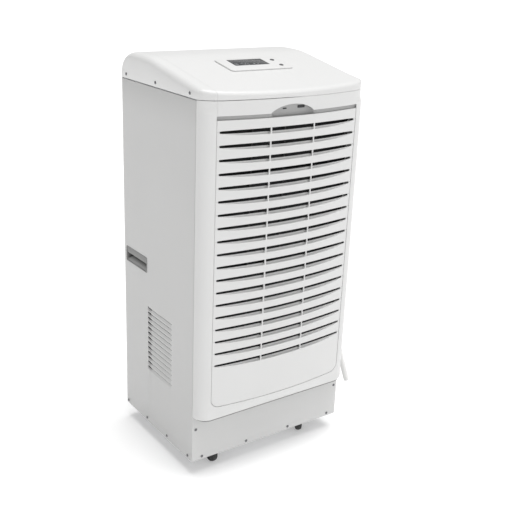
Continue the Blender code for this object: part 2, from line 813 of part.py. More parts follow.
def build_outlet_grille():
    """Slotted outlet frame on the back, the rearmost piece of the machine."""
    outer = OUTLET_X + OUTLET_MARGIN
    xs = [-outer, -OUTLET_X + 0.003, OUTLET_X - 0.003, outer]
    pitch = (OUTLET_Z[1] - OUTLET_Z[0]) / OUTLET_SLATS
    zs = [OUTLET_Z[0] - OUTLET_MARGIN]
    for index in range(OUTLET_SLATS):
        start = OUTLET_Z[0] + pitch * index
        zs += [start + 0.0025, start + pitch - 0.0025]
    zs.append(OUTLET_Z[1] + OUTLET_MARGIN)
    ys = (REAR_Y + GAP, OUTLET_BACK_Y)
    bm = bmesh.new()
    add_lattice(
        bm,
        (3, len(zs) - 1, 1),
        lambda i, j, k: i != 1 or j % 2 == 0,
        lambda i, j, k: (xs[i], ys[k], zs[j]),
    )
    publish("outlet_grille", bm, GREY_PLASTIC)


def build_power_gland():
    bm = bmesh.new()
    base = (GLAND_X, REAR_Y + GAP, GLAND_Z)
    profile = [
        (0.0, -0.016), (0.0075, -0.016), (0.0075, 0.0), (0.0125, 0.0), (0.0125, 0.0028),
        (0.0100, 0.0040), (0.0, 0.0040),
    ]
    add_turned(bm, profile, 12, axis_frame(base, (0, 1, 0)))
    publish("power_gland", bm, BLACK_PAINT, smooth=True)


def build_casters():
    spots = [(x, y) for y in CASTER_YS for x in (-CASTER_X, CASTER_X)]
    for name, (x, y) in zip(CASTER_HEADINGS, spots):
        bm = bmesh.new()
        size = (2 * PLATE_HALF, 2 * PLATE_HALF)
        outline = rounded_rectangle((x, y), size, 0.006, 2)
        add_prism(bm, outline, along_z, PLATE_LOW, PAN_FLOOR_Z - GAP)
        publish("caster_plate_" + name, bm, BLACK_PAINT)
        build_caster(name, x, y)


def build_caster(name, x, y):
    """Swivelling fork, axle and wheel of one caster."""
    swivel = make_empty("caster_swivel_" + name, (x, y, FORK_TOP))
    turn = math.radians(CASTER_HEADINGS[name])
    heading = Vector((math.cos(turn), math.sin(turn), 0.0))
    across = Vector((-heading.y, heading.x, 0.0))
    pivot = Vector((x, y, 0.0))
    hub = pivot + heading * CASTER_TRAIL + Vector((0, 0, WHEEL_RADIUS))
    leg_inner = WHEEL_WIDTH / 2 + 0.0012
    leg_outer = leg_inner + 0.0020

    def spot(forward, sideways, height):
        return pivot + heading * forward + across * sideways + Vector((0, 0, height))

    crown_low = FORK_TOP - 0.0035
    legs = [
        (-0.016, crown_low + 0.001), (0.019, crown_low + 0.001), (CASTER_TRAIL + 0.008, 0.028),
        (CASTER_TRAIL + 0.006, 0.019), (CASTER_TRAIL - 0.006, 0.019), (CASTER_TRAIL - 0.012, 0.032),
    ]
    bm = bmesh.new()
    add_prism(
        bm,
        [(-0.017, -leg_outer), (0.021, -leg_outer), (0.021, leg_outer), (-0.017, leg_outer)],
        lambda a, b, t: spot(a, b, t),
        crown_low,
        FORK_TOP,
    )
    fork = publish("caster_fork_" + name, bm, BLACK_PAINT, swivel.location, swivel)
    for side in SIDES:
        bm = bmesh.new()
        near = side * leg_inner
        far = side * leg_outer
        add_prism(bm, legs, lambda a, b, t: spot(a, t, b), near, far)
        combine(fork, bm, "fork_leg_%s_%d" % (name, side), "UNION")
    bm = bmesh.new()
    add_cylinder(bm, hub - across * 0.03, hub + across * 0.03, AXLE_RADIUS + 0.0003, 10)
    combine(fork, bm, "fork_bore_cutter_" + name)

    bm = bmesh.new()
    tail = leg_outer + GAP
    profile = [
        (0.0, -tail - 0.003), (0.0055, -tail - 0.003), (0.0055, -tail), (AXLE_RADIUS, -tail),
        (AXLE_RADIUS, tail), (0.0055, tail), (0.0055, tail + 0.003), (0.0, tail + 0.003),
    ]
    add_turned(bm, profile, 10, axis_frame(hub, across))
    publish("caster_axle_" + name, bm, STEEL, swivel.location, swivel)

    spin = make_empty("caster_spin_" + name, hub)
    bm = bmesh.new()
    half = WHEEL_WIDTH / 2
    bore = AXLE_RADIUS + 0.0003
    profile = [
        (bore, -half), (0.009, -half), (0.013, -half + 0.002), (0.021, -half + 0.003),
        (WHEEL_RADIUS, -half + 0.007), (WHEEL_RADIUS, half - 0.007), (0.021, half - 0.003),
        (0.013, half - 0.002), (0.009, half), (bore, half),
    ]
    add_turned(bm, profile, 20, axis_frame(hub, across))
    publish("caster_wheel_" + name, bm, BLACK_RUBBER, hub, spin, smooth=True)


def build_coil(name, y):
    """Finned block between end plates, with its tubes' return bends on the right end."""
    low_x, high_x = COIL_X
    low_z, high_z = COIL_Z
    half = COIL_THICK / 2
    bm = bmesh.new()
    add_box(bm, (low_x, y - half, low_z), (high_x, y + half, high_z))
    block = publish(name, bm, FINS)
    bm = bmesh.new()
    for end, sign in ((low_x, -1), (high_x, 1)):
        xs = sorted((end - sign * 0.001, end + sign * COIL_PLATE))
        add_box(bm, (xs[0], y - half - 0.003, low_z - 0.006), (xs[1], y + half + 0.003, high_z + 0.006))
    combine(block, bm, name + "_end_plates", "UNION")
    pitch = (high_z - low_z) / COIL_BENDS
    reach = 0.012
    bend = bmesh.new()
    for index in range(COIL_BENDS):
        centre_z = low_z + pitch * (index + 0.5)
        spread = pitch * 0.25
        rings = []
        start_x = high_x + COIL_PLATE / 2
        for step in range(7):
            angle = math.pi * step / 6 - math.pi / 2
            outward = Vector((math.cos(angle), 0.0, math.sin(angle)))
            middle = Vector((start_x + reach * outward.x, y, centre_z + spread * outward.z))
            ring = []
            for turn in range(6):
                a = 2 * math.pi * turn / 6
                sideways = Vector((0.0, math.sin(a), 0.0))
                ring.append(middle + (outward * math.cos(a) + sideways) * PIPE_RADIUS)
            rings.append(ring)
        add_loft(bend, rings)
    combine(block, bend, name + "_bends", "UNION")


def scroll_outline(offset):
    """Blower scroll in (y, z), `offset` inside the outer skin, with its straight outlet."""
    axis_y, axis_z = BLOWER_AXIS
    points = [(DUCT_END_Y, axis_z + SCROLL_TOP - offset)]
    steps = 18
    for step in range(steps + 1):
        turn = SCROLL_SWEEP * step / steps
        radius = SCROLL_TOP + (SCROLL_END - SCROLL_TOP) * step / steps - offset
        points.append((axis_y - radius * math.sin(turn), axis_z + radius * math.cos(turn)))
    tongue_z = axis_z + SCROLL_END * math.cos(SCROLL_SWEEP)
    points.append((DUCT_END_Y, tongue_z + offset))
    return points


def build_blower():
    wall = 0.0015
    bm = bmesh.new()
    add_prism(bm, scroll_outline(0.0), along_x, -SCROLL_HALF_WIDTH, SCROLL_HALF_WIDTH)
    housing = publish("blower_housing", bm, GALVANISED)
    bm = bmesh.new()
    inner = scroll_outline(wall)
    inner[0] = (DUCT_END_Y + 0.01, inner[0][1])
    inner[-1] = (DUCT_END_Y + 0.01, inner[-1][1])
    add_prism(bm, inner, along_x, -SCROLL_HALF_WIDTH + wall, SCROLL_HALF_WIDTH - wall)
    combine(housing, bm, "scroll_hollow_cutter")
    bm = bmesh.new()
    centre = Vector((0.0, *BLOWER_AXIS))
    reach = Vector((SCROLL_HALF_WIDTH + 0.01, 0, 0))
    add_cylinder(bm, centre - reach, centre + reach, INLET_RADIUS, 16)
    combine(housing, bm, "scroll_inlet_cutter")

    spin = make_empty("blower_spin", centre)
    sectors = 2 * FAN_BLADES
    radii = (SHAFT_RADIUS + 0.0003, 0.014, FAN_INNER, FAN_RADIUS)
    ring = 0.004
    disc = 0.0015
    xs = (-FAN_HALF_WIDTH, -FAN_HALF_WIDTH + ring, -disc, disc, FAN_HALF_WIDTH - ring, FAN_HALF_WIDTH)

    def filled(i, j, k):
        if j == 2:
            return True
        if k < 2:
            return False
        return j in (0, 4) or i % 2 == 0

    def point(i, j, k):
        pair, odd = divmod(i, 2)
        angle = 2 * math.pi * (pair + 0.28 * odd) / FAN_BLADES
        radius = radii[k]
        return centre + Vector((xs[j], radius * math.cos(angle), radius * math.sin(angle)))

    bm = bmesh.new()
    add_lattice(bm, (sectors, 5, 3), filled, point, wrap=True)
    publish("blower_wheel", bm, DARK_PLASTIC, centre, spin)

    motor_x = SCROLL_HALF_WIDTH + 0.012
    bore = SHAFT_RADIUS + 0.0004
    face = MOTOR_RADIUS - 0.007
    profile = [
        (bore, 0.0), (face, 0.0), (MOTOR_RADIUS, 0.006), (MOTOR_RADIUS, MOTOR_LENGTH - 0.008),
        (face, MOTOR_LENGTH), (bore, MOTOR_LENGTH),
    ]
    bm = bmesh.new()
    add_turned(bm, profile, 20, axis_frame(centre + Vector((motor_x, 0, 0)), (1, 0, 0)))
    publish("fan_motor", bm, BLACK_PAINT, smooth=True)
    bm = bmesh.new()
    start = centre - Vector((0.020, 0, 0))
    end = centre + Vector((motor_x + MOTOR_LENGTH - 0.005, 0, 0))
    add_cylinder(bm, start, end, SHAFT_RADIUS, 12)
    publish("motor_shaft", bm, STEEL, centre, spin, smooth=True)

    plate_x = SCROLL_HALF_WIDTH + GAP
    bracket = 0.0030
    bm = bmesh.new()
    low = centre + Vector((plate_x, -0.012, -0.080))
    high = centre + Vector((plate_x + bracket, 0.012, 0.080))
    add_box(bm, low, high)
    spider = publish("motor_bracket", bm, GALVANISED)
    bm = bmesh.new()
    low = centre + Vector((plate_x, -0.080, -0.012))
    high = centre + Vector((plate_x + bracket, 0.080, 0.012))
    add_box(bm, low, high)
    combine(spider, bm, "bracket_cross", "UNION")
    bm = bmesh.new()
    start = centre + Vector((plate_x, 0, 0))
    add_cylinder(bm, start, centre + Vector((motor_x - GAP, 0, 0)), 0.034, 16)
    combine(spider, bm, "bracket_boss", "UNION")
    bm = bmesh.new()
    reach = Vector((0.2, 0, 0))
    add_cylinder(bm, centre, centre + reach, 0.016, 12)
    combine(spider, bm, "bracket_bore_cutter")


def build_refrigeration():
    x, y = COMPRESSOR
    base = COMPRESSOR_BASE
    radius = COMPRESSOR_RADIUS
    top = COMPRESSOR_HEIGHT
    profile = [
        (0.0, 0.004), (radius * 0.7, 0.004), (radius, 0.020), (radius, top - 0.040),
        (radius * 0.94, top - 0.022), (radius * 0.72, top - 0.008), (radius * 0.35, top - 0.001),
        (0.0, top),
    ]
    bm = bmesh.new()
    add_turned(bm, profile, 24, Matrix.Translation((x, y, base)))
    shell = publish("compressor", bm, BLACK_PAINT, smooth=True)
    bm = bmesh.new()
    plate = circle((x, y), FOOT_CIRCLE + 0.012, 6)
    add_prism(bm, plate, along_z, base, base + 0.006)
    combine(shell, bm, "compressor_base_plate", "UNION")
    feet = []
    for index in range(3):
        angle = 2 * math.pi * index / 3
        feet.append((x + FOOT_CIRCLE * math.cos(angle), y + FOOT_CIRCLE * math.sin(angle)))
    bm = bmesh.new()
    for spot in feet:
        add_prism(bm, circle(spot, 0.0062, 8), along_z, base - 0.01, base + 0.01)
    combine(shell, bm, "compressor_foot_cutter")
    floor = PAN_TOP + GAP
    bm = bmesh.new()
    add_prism(bm, plate, along_z, floor, floor + 0.0025)
    mount = publish("compressor_mount", bm, BLACK_RUBBER)
    for index, spot in enumerate(feet):
        bm = bmesh.new()
        profile = [
            (0.0, floor + 0.001), (0.010, floor + 0.001), (0.010, base - GAP), (0.0055, base - GAP),
            (0.0055, base + 0.011), (0.0, base + 0.011),
        ]
        add_turned(bm, profile, 8, Matrix.Translation((*spot, 0.0)))
        combine(mount, bm, "compressor_foot_%d" % index, "UNION")

    ax, ay = ACCUMULATOR
    profile = [
        (0.0, 0.0), (0.012, 0.002), (0.024, 0.012), (0.026, 0.022), (0.026, 0.140), (0.024, 0.150),
        (0.012, 0.160), (0.0, 0.162),
    ]
    bm = bmesh.new()
    add_turned(bm, profile, 16, Matrix.Translation((ax, ay, ACCUMULATOR_BASE)))
    publish("accumulator", bm, BLACK_PAINT, smooth=True)

    left = COIL_X[0] - COIL_PLATE - GAP
    top = base + COMPRESSOR_HEIGHT
    make_tube(
        "discharge_pipe",
        [
            (x - 0.020, y, top), (x - 0.020, y, top + 0.018), (x - 0.040, y - 0.02, 0.350),
            (-0.195, 0.000, 0.365), (-0.215, -0.030, 0.385), (-0.217, -0.035, 0.420),
            (-0.218, -0.062, 0.452), (-0.210, CONDENSER_Y, 0.464), (-0.199, CONDENSER_Y, 0.464),
            (left, CONDENSER_Y, 0.464),
        ],
        PIPE_RADIUS, COPPER, 0.022,
    )
    make_tube(
        "suction_pipe",
        [
            (ax, ay, 0.2675), (ax, ay, 0.300), (ax - 0.020, ay + 0.020, 0.335),
            (-0.150, 0.110, 0.350), (-0.210, 0.070, 0.372), (-0.217, 0.050, 0.410),
            (-0.217, 0.020, 0.470), (-0.217, -0.060, 0.510), (-0.210, EVAPORATOR_Y, 0.514),
            (-0.199, EVAPORATOR_Y, 0.514), (left, EVAPORATOR_Y, 0.514),
        ],
        PIPE_RADIUS, COPPER, 0.022,
    )
    bm = bmesh.new()
    profile = [
        (0.0, 0.0), (0.004, 0.0), (0.009, 0.012), (0.009, 0.078), (0.004, 0.090), (0.0, 0.090),
    ]
    add_turned(bm, profile, 12, Matrix.Translation((-0.215, CONDENSER_Y, 0.620)))
    publish("filter_drier", bm, COPPER, smooth=True)
    make_tube(
        "liquid_pipe",
        [
            (left, CONDENSER_Y, 0.800), (-0.198, CONDENSER_Y, 0.800), (-0.206, CONDENSER_Y, 0.797),
            (-0.2145, CONDENSER_Y, 0.785),
            (-0.215, CONDENSER_Y, 0.760), (-0.215, CONDENSER_Y, 0.7103),
        ],
        LIQUID_PIPE_RADIUS, COPPER, 0.012,
    )
    turns = 2.5
    coil_radius = 0.012
    steps = 26
    centre_y = CONDENSER_Y - 0.021
    helix = []
    for step in range(steps + 1):
        angle = math.pi / 2 + 2 * math.pi * turns * step / steps
        height = 0.600 - 0.030 * step / steps
        across = 0.8 * coil_radius * math.cos(angle)
        helix.append((-0.2155 + across, centre_y + coil_radius * math.sin(angle), height))
    route = [(-0.215, CONDENSER_Y, 0.6197), (-0.215, CONDENSER_Y - 0.001, 0.610)] + helix
    route += [(-0.206, EVAPORATOR_Y - 0.002, 0.562), (-0.199, EVAPORATOR_Y, 0.560)]
    route.append((left, EVAPORATOR_Y, 0.560))
    make_tube("capillary_tube", route, CAPILLARY_RADIUS, COPPER, 0.010)


def build_water():
    bm = bmesh.new()
    shelf_y = (CABINET_FRONT + 2 * SHEET + 0.001, CABINET_BACK - 2 * SHEET - 0.001)
    half = HALF - SHEET - GAP
    add_box(bm, (-half, shelf_y[0], SHELF_Z), (half, shelf_y[1], SHELF_Z + SHEET))
    shelf = publish("divider_shelf", bm, GALVANISED)
    bm = bmesh.new()
    for x, y, radius in ((-0.217, -0.031, 0.009), (-0.217, 0.054, 0.010), (0.190, DRAIN_Y, 0.012)):
        add_cylinder(bm, (x, y, SHELF_Z - 0.01), (x, y, SHELF_Z + 0.01), radius, 10)
    combine(shelf, bm, "shelf_hole_cutter")

    bm = bmesh.new()
    tray_low = SHELF_Z + SHEET + GAP
    add_box(bm, (-0.200, -0.156, tray_low), (0.200, -0.060, tray_low + 0.032))
    tray = publish("drip_tray", bm, DARK_PLASTIC)
    bm = bmesh.new()
    add_box(bm, (-0.198, -0.154, tray_low + 0.003), (0.198, -0.062, tray_low + 0.050))
    combine(tray, bm, "tray_hollow_cutter")
    bm = bmesh.new()
    add_cylinder(bm, (0.190, DRAIN_Y, 0.386), (0.190, DRAIN_Y, tray_low + 0.001), 0.008, 10)
    combine(tray, bm, "tray_spout", "UNION")
    bm = bmesh.new()
    add_cylinder(bm, (0.190, DRAIN_Y, 0.38), (0.190, DRAIN_Y, tray_low + 0.01), 0.005, 10)
    combine(tray, bm, "tray_spout_cutter")

    make_tube(
        "drain_tube",
        [
            (0.190, DRAIN_Y, 0.3857), (0.190, DRAIN_Y, 0.360), (0.191, DRAIN_Y, 0.300),
            (0.196, DRAIN_Y, 0.262), (0.208, DRAIN_Y, 0.242), (0.222, DRAIN_Y, DRAIN_Z),
            (0.2340, DRAIN_Y, DRAIN_Z),
        ],
        DRAIN_RADIUS, HOSE_WHITE, 0.012,
    )
    start = Vector(ELBOW_END)
    end = Vector(HOSE_END)
    run = (end - start).normalized()
    make_tube(
        "drain_elbow",
        [
            (0.2344, DRAIN_Y, DRAIN_Z), (0.242, DRAIN_Y, DRAIN_Z), (0.250, DRAIN_Y, DRAIN_Z),
            (0.2600, DRAIN_Y, 0.2368),
            start - run * 0.008, start,
        ],
        DRAIN_RADIUS, WHITE_PLASTIC, 0.006,
    )
    route = [start + run * HOSE_GAP, start.lerp(end, 0.5), end]
    make_tube("drain_hose", route, DRAIN_RADIUS, HOSE_WHITE, 0.018)


def build_electrics():
    """Closed wiring box with a cable entry, and the run capacitor beside it."""
    low = Vector((0.110, 0.085, 0.090))
    high = Vector((0.220, 0.190, 0.300))
    wall = Vector((0.0012, 0.0012, 0.0012))
    bm = bmesh.new()
    add_box(bm, low, high)
    box = publish("electrical_box", bm, GALVANISED)
    bm = bmesh.new()
    add_box(bm, low + wall, high - wall)
    combine(box, bm, "electrical_box_hollow_cutter")
    bm = bmesh.new()
    entry = Vector((0.165, 0.138, low.z))
    reach = Vector((0.0, 0.0, 0.01))
    add_cylinder(bm, entry - reach, entry + reach, 0.009, 8)
    combine(box, bm, "electrical_box_entry_cutter")
    bm = bmesh.new()
    floor = PAN_TOP + GAP
    add_cylinder(bm, (0.080, 0.138, floor), (0.080, 0.138, floor + 0.095), 0.022, 16)
    publish("run_capacitor", bm, FINS, smooth=True)


clear_scene()
build_casing()
build_side_panel(-1)
build_side_panel(1)
build_handle(-1)
build_handle(1)
build_front_cover()
build_grip_recess()
build_grille_panel()
build_filter()
build_lid()
build_controls()
build_outlet_grille()
build_power_gland()
build_casters()
build_coil("evaporator_coil", EVAPORATOR_Y)
build_coil("condenser_coil", CONDENSER_Y)
build_blower()
build_refrigeration()
build_water()
build_electrics()
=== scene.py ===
import math

import bmesh
import bpy
import numpy as np
from mathutils import Matrix, Vector


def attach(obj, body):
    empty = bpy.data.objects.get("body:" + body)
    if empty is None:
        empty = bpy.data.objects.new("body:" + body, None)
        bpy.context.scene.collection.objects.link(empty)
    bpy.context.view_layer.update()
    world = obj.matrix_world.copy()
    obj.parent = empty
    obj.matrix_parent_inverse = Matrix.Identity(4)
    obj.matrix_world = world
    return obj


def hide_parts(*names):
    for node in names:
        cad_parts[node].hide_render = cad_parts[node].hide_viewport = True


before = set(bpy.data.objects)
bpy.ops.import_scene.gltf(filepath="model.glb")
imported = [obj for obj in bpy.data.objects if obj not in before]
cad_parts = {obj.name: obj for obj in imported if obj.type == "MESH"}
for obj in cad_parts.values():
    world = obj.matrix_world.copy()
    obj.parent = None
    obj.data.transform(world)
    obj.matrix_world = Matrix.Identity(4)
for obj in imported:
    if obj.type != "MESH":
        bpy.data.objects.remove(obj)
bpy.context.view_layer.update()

# ---------------------------------------------------------------------------
# Sizes shared with the CAD, in metres
# ---------------------------------------------------------------------------
HALF = 0.240
CABINET_FRONT = -0.160
CABINET_BACK = 0.209
CABINET_BOTTOM = 0.045
SEAM_Z = 0.984
LID_TOP = 1.052
SHEET = 0.001
SHELL = 0.0025
GAP = 0.0003
REAR_Y = CABINET_BACK + GAP + SHEET
SIDE_TOP = SEAM_Z - 0.0015

COVER_BOTTOM = 0.175
COVER_EDGE_Y = -0.191
COVER_BACK_Y = CABINET_FRONT - GAP
COVER_CORNER = 0.030
TOP_CORNER = 0.055
LOWER_CORNER = 0.008
BOW_AT_SEAM = 0.024
BOW_AT_FOOT = 0.0185
BOW_RAMP = 0.040
BOW_RAMP_POWER = 1.6
BOW_WIDTH = HALF - COVER_CORNER

PANEL_HALF = 0.205
PANEL_BOTTOM = 0.2105
PANEL_TOP = 0.940
PANEL_CORNER = 0.022
SLOT_ROWS = 19
SLOT_LOW_Z = 0.327
SLOT_HIGH_Z = 0.913
SLOT_END_X = 0.198
SLOT_PITCH = (SLOT_HIGH_Z - SLOT_LOW_Z) / (SLOT_ROWS - 1)
SLOT_UP = 0.0052
SLOT_DOWN = 0.0054
RIB_XS = (-0.0680, 0.0580)
RIB_HALF = 0.0015
SCOOP_HEIGHT = 0.0046
SCOOP_DEPTH = 0.0088
LIP_HEIGHT = 0.0048
LIP_PROUD = 0.0010
LIP_ROUND = 0.0013
PANEL_EDGE = 0.0016
PANEL_SKIN = 0.0026
GRIP_TOP = 0.969
GRIP_HALF = 0.062
GRIP_X = -0.009
GRIP_ARCH_POWER = 0.8
BAND_TOP = 0.950
RECESS_DEPTH = 0.0120
BAND_DEPTH = 0.0055

LID_SLOPE = 0.18
LID_KINK_Y = 0.075
LID_KINK_SOFTNESS = 0.012
LID_SIDE_FILLET = 0.018
LID_NOSE_FILLET = 0.009
LID_REAR_FILLET = 0.058
SEAM_LIFT = 0.0009

BEZEL_CENTRE = (0.006, -0.0255)
BEZEL_SIZE = (0.184, 0.088)
BEZEL_HOLE = (0.172, 0.076)
WINDOW_CENTRE = (-0.010, 0.012)
WINDOW_SIZE = (0.103, 0.046)
BUTTON_X = 0.068
BUTTON_YS = (0.019, -0.022)
BUTTON_RADIUS = 0.0055

HANDLE_Y = (0.080, 0.196)
HANDLE_Z = (0.492, 0.533)
HANDLE_DEPTH = 0.034
LOUVRE_Y = (-0.052, 0.077)
LOUVRE_LOW_Z = 0.219
LOUVRE_COUNT = 13
LOUVRE_PITCH = 0.0146
LOUVRE_HEIGHT = 0.006
LOUVRE_DROP = 0.0035
LOUVRE_STRIP = (0.0, 0.12, 0.30, 0.55, 0.80, 1.0)
LOUVRE_SLIT = 0.0034
LOUVRE_SWELL = 0.0048

CASTER_X = 0.154
CASTER_YS = (-0.097, 0.160)
WHEEL_RADIUS = 0.025
WHEEL_WIDTH = 0.022
LEG_INNER = WHEEL_WIDTH / 2 + 0.0012
LEG_OUTER = LEG_INNER + 0.0020
CASTER_TRAIL = 0.022
CASTER_HEADINGS = {"front_left": 267, "front_right": 240, "rear_left": 252, "rear_right": 246}
PAN_FLOOR_Z = 0.070
PLATE_SIDE = 0.058
PLATE_LOW = PAN_FLOOR_Z - GAP - 0.0025
FORK_TOP = PLATE_LOW - 0.0005

OUTLET_X = 0.113
OUTLET_Z = (0.743, 0.828)
GLAND_X = 0.170
GLAND_Z = 0.110
DRAIN_Y = -0.129
DRAIN_Z = 0.238
DRAIN_RADIUS = 0.008
ELBOW_END = (0.2700, DRAIN_Y, 0.2240)
HOSE_END = (0.3055, -0.130, 0.1215)


# ---------------------------------------------------------------------------
# Camera and light
# ---------------------------------------------------------------------------
def make_camera():
    data = bpy.data.cameras.new("camera")
    data.lens = 59.04
    data.sensor_width = 36.0
    data.clip_start = 0.05
    data.clip_end = 400.0
    camera = bpy.data.objects.new("camera", data)
    right = Vector((0.82017, -0.57092, 0.03704))
    up = Vector((0.16743, 0.30142, 0.93867))
    back = Vector((-0.54707, -0.76367, 0.34281))
    rotation = Matrix((right, up, back)).transposed()
    camera.matrix_world = Matrix.Translation((-1.2069, -1.7594, 1.3021)) @ rotation.to_4x4()
    bpy.context.scene.collection.objects.link(camera)
    bpy.context.scene.camera = camera


def make_light():
    """Broad soft light from overhead, a weak key from the front, and a white surround."""
    world = bpy.data.worlds.new("studio")
    bpy.context.scene.world = world
    world.use_nodes = True
    background = world.node_tree.nodes["Background"]
    background.inputs["Color"].default_value = (1.0, 1.0, 1.0, 1.0)
    background.inputs["Strength"].default_value = 0.42
    for name, towards, energy, spread in (
        ("overhead", (0.08, -0.06, 1.0), 2.72, 44),
        ("key", (0.34, -0.72, 0.60), 0.48, 40),
    ):
        sun = bpy.data.lights.new(name, "SUN")
        sun.energy = energy
        sun.angle = math.radians(spread)
        lamp = bpy.data.objects.new(name, sun)
        lamp.rotation_euler = Vector(towards).to_track_quat("Z", "Y").to_euler()
        bpy.context.scene.collection.objects.link(lamp)
    bpy.context.scene.view_settings.view_transform = "Standard"


make_camera()
make_light()


# ---------------------------------------------------------------------------
# Materials
# ---------------------------------------------------------------------------
class Surface:
    """A Principled material with helpers for wiring procedural textures into it."""

    def __init__(self, name, colour, roughness, metallic=0.0):
        self.material = bpy.data.materials.new(name)
        self.material.use_nodes = True
        self.tree = self.material.node_tree
        self.shader = self.tree.nodes["Principled BSDF"]
        self.shader.inputs["Base Color"].default_value = (*colour, 1.0)
        self.shader.inputs["Roughness"].default_value = roughness
        self.shader.inputs["Metallic"].default_value = metallic
        self.colour = colour
        self.roughness = roughness
        self.place = self.tree.nodes.new("ShaderNodeTexCoord").outputs["Object"]

    def link(self, source, target):
        self.tree.links.new(source, target)

    def stretched(self, scale):
        mapping = self.tree.nodes.new("ShaderNodeMapping")
        self.link(self.place, mapping.inputs["Vector"])
        mapping.inputs["Scale"].default_value = scale
        return mapping.outputs["Vector"]

    def texture(self, kind, scale, stretch=None):
        node = self.tree.nodes.new("ShaderNodeTex" + kind)
        node.inputs["Scale"].default_value = scale
        self.link(self.stretched(stretch) if stretch else self.place, node.inputs["Vector"])
        return node

    def noise(self, scale, detail=2.0, stretch=None):
        node = self.texture("Noise", scale, stretch)
        node.inputs["Detail"].default_value = detail
        return node.outputs["Fac"]

    def voronoi(self, scale, output, stretch=None):
        return self.texture("Voronoi", scale, stretch).outputs[output]

    def wave(self, axis, scale):
        node = self.texture("Wave", scale)
        node.bands_direction = axis
        return node.outputs["Fac"]

    def ranged(self, source, low, high, start=0.0, end=1.0):
        node = self.tree.nodes.new("ShaderNodeMapRange")
        node.inputs["From Min"].default_value = start
        node.inputs["From Max"].default_value = end
        node.inputs["To Min"].default_value = low
        node.inputs["To Max"].default_value = high
        self.link(source, node.inputs["Value"])
        return node.outputs["Result"]

    def combined(self, operation, a, b):
        node = self.tree.nodes.new("ShaderNodeMath")
        node.operation = operation
        for socket, value in zip(node.inputs, (a, b)):
            if isinstance(value, (int, float)):
                socket.default_value = value
            else:
                self.link(value, socket)
        return node.outputs["Value"]

    def axis(self, name):
        node = self.tree.nodes.new("ShaderNodeSeparateXYZ")
        self.link(self.place, node.inputs["Vector"])
        return node.outputs[name]

    def tint(self, source, dark, light):
        """Base colour that runs between two colours with a texture."""
        node = self.tree.nodes.new("ShaderNodeMix")
        node.data_type = "RGBA"
        self.link(source, node.inputs["Factor"])
        colours = [socket for socket in node.inputs if socket.type == "RGBA"]
        colours[0].default_value = (*dark, 1.0)
        colours[1].default_value = (*light, 1.0)
        result = next(socket for socket in node.outputs if socket.type == "RGBA")
        self.link(result, self.shader.inputs["Base Color"])

    def uneven(self, source, spread):
        """Roughness that varies with a texture about its own value."""
        value = self.ranged(source, self.roughness - spread, self.roughness + spread)
        self.link(value, self.shader.inputs["Roughness"])

    def bump(self, height, distance, strength):
        node = self.tree.nodes.new("ShaderNodeBump")
        node.inputs["Strength"].default_value = strength
        node.inputs["Distance"].default_value = distance
        self.link(height, node.inputs["Height"])
        self.link(node.outputs["Normal"], self.shader.inputs["Normal"])


def scaled(colour, factor):
    return tuple(channel * factor for channel in colour)


def drifting(name, colour, roughness, tones, drift, gloss, spread):
    """Surface whose colour and roughness each wander a little with a noise of their own."""
    surface = Surface(name, colour, roughness)
    dark, light = tones
    surface.tint(surface.noise(*drift), scaled(colour, dark), scaled(colour, light))
    surface.uneven(surface.noise(*gloss), spread)
    return surface


def painted_steel(name, colour, roughness):
    surface = drifting(name, colour, roughness, (0.975, 1.012), (6.0,), (35.0, 3.0), 0.05)
    surface.bump(surface.noise(750.0, 1.0), 0.00010, 0.35)
    surface.shader.inputs["Coat Weight"].default_value = 0.15
    surface.shader.inputs["Coat Roughness"].default_value = 0.25
    return surface.material


def moulding_surface(name, colour, roughness):
    return drifting(name, colour, roughness, (0.975, 1.012), (9.0,), (60.0, 3.0), 0.04)


def moulding(name, colour, roughness, grain=0.00006, scale=1300.0):
    surface = moulding_surface(name, colour, roughness)
    surface.bump(surface.noise(scale, 2.0), grain, 0.4)
    surface.shader.inputs["IOR"].default_value = 1.49
    return surface.material


def lined_moulding(name, colour, roughness):
    """White moulding with the two faint mould lines that cross the seam under the lid."""
    surface = moulding_surface(name, colour, roughness)
    x = surface.axis("X")
    above = surface.ranged(surface.axis("Z"), 0.0, 1.0, BAND_TOP, BAND_TOP + 0.001)
    total = surface.ranged(surface.noise(1300.0), 0.0, 0.08)
    for place, depth in ((-PANEL_HALF, 1.0), (0.060, 0.45)):
        away = surface.combined("ABSOLUTE", surface.combined("SUBTRACT", x, place), 0.0)
        groove = surface.ranged(away, -depth, 0.0, 0.0, 0.0016)
        total = surface.combined("ADD", total, surface.combined("MULTIPLY", groove, above))
    surface.bump(total, 0.0006, 1.0)
    return surface.material


def galvanised(name, colour):
    surface = Surface(name, colour, 0.42, 0.9)
    spangle = surface.ranged(surface.voronoi(160.0, "Color"), 0.0, 1.0)
    surface.tint(spangle, scaled(colour, 0.78), scaled(colour, 1.08))
    surface.uneven(spangle, 0.10)
    surface.bump(surface.noise(420.0), 0.00005, 0.4)
    return surface.material


def bare_metal(name, colour, roughness, stretch):
    surface = Surface(name, colour, roughness, 1.0)
    grain = surface.noise(60.0, 4.0, stretch)
    surface.tint(grain, scaled(colour, 0.82), scaled(colour, 1.08))
    surface.uneven(grain, 0.09)
    surface.bump(grain, 0.00003, 0.5)
    return surface.material


def finned(name, colour):
    surface = Surface(name, colour, 0.36, 0.9)
    fins = surface.wave("X", 170.0)
    # Painted shade: the darker bands between the fin stripes stand for the shade in the gaps between
    # fins.
    surface.tint(surface.ranged(fins, 0.0, 1.0, 0.2, 0.8), scaled(colour, 0.35), colour)
    surface.uneven(surface.noise(30.0, 3.0), 0.08)
    surface.bump(fins, 0.0006, 0.8)
    return surface.material


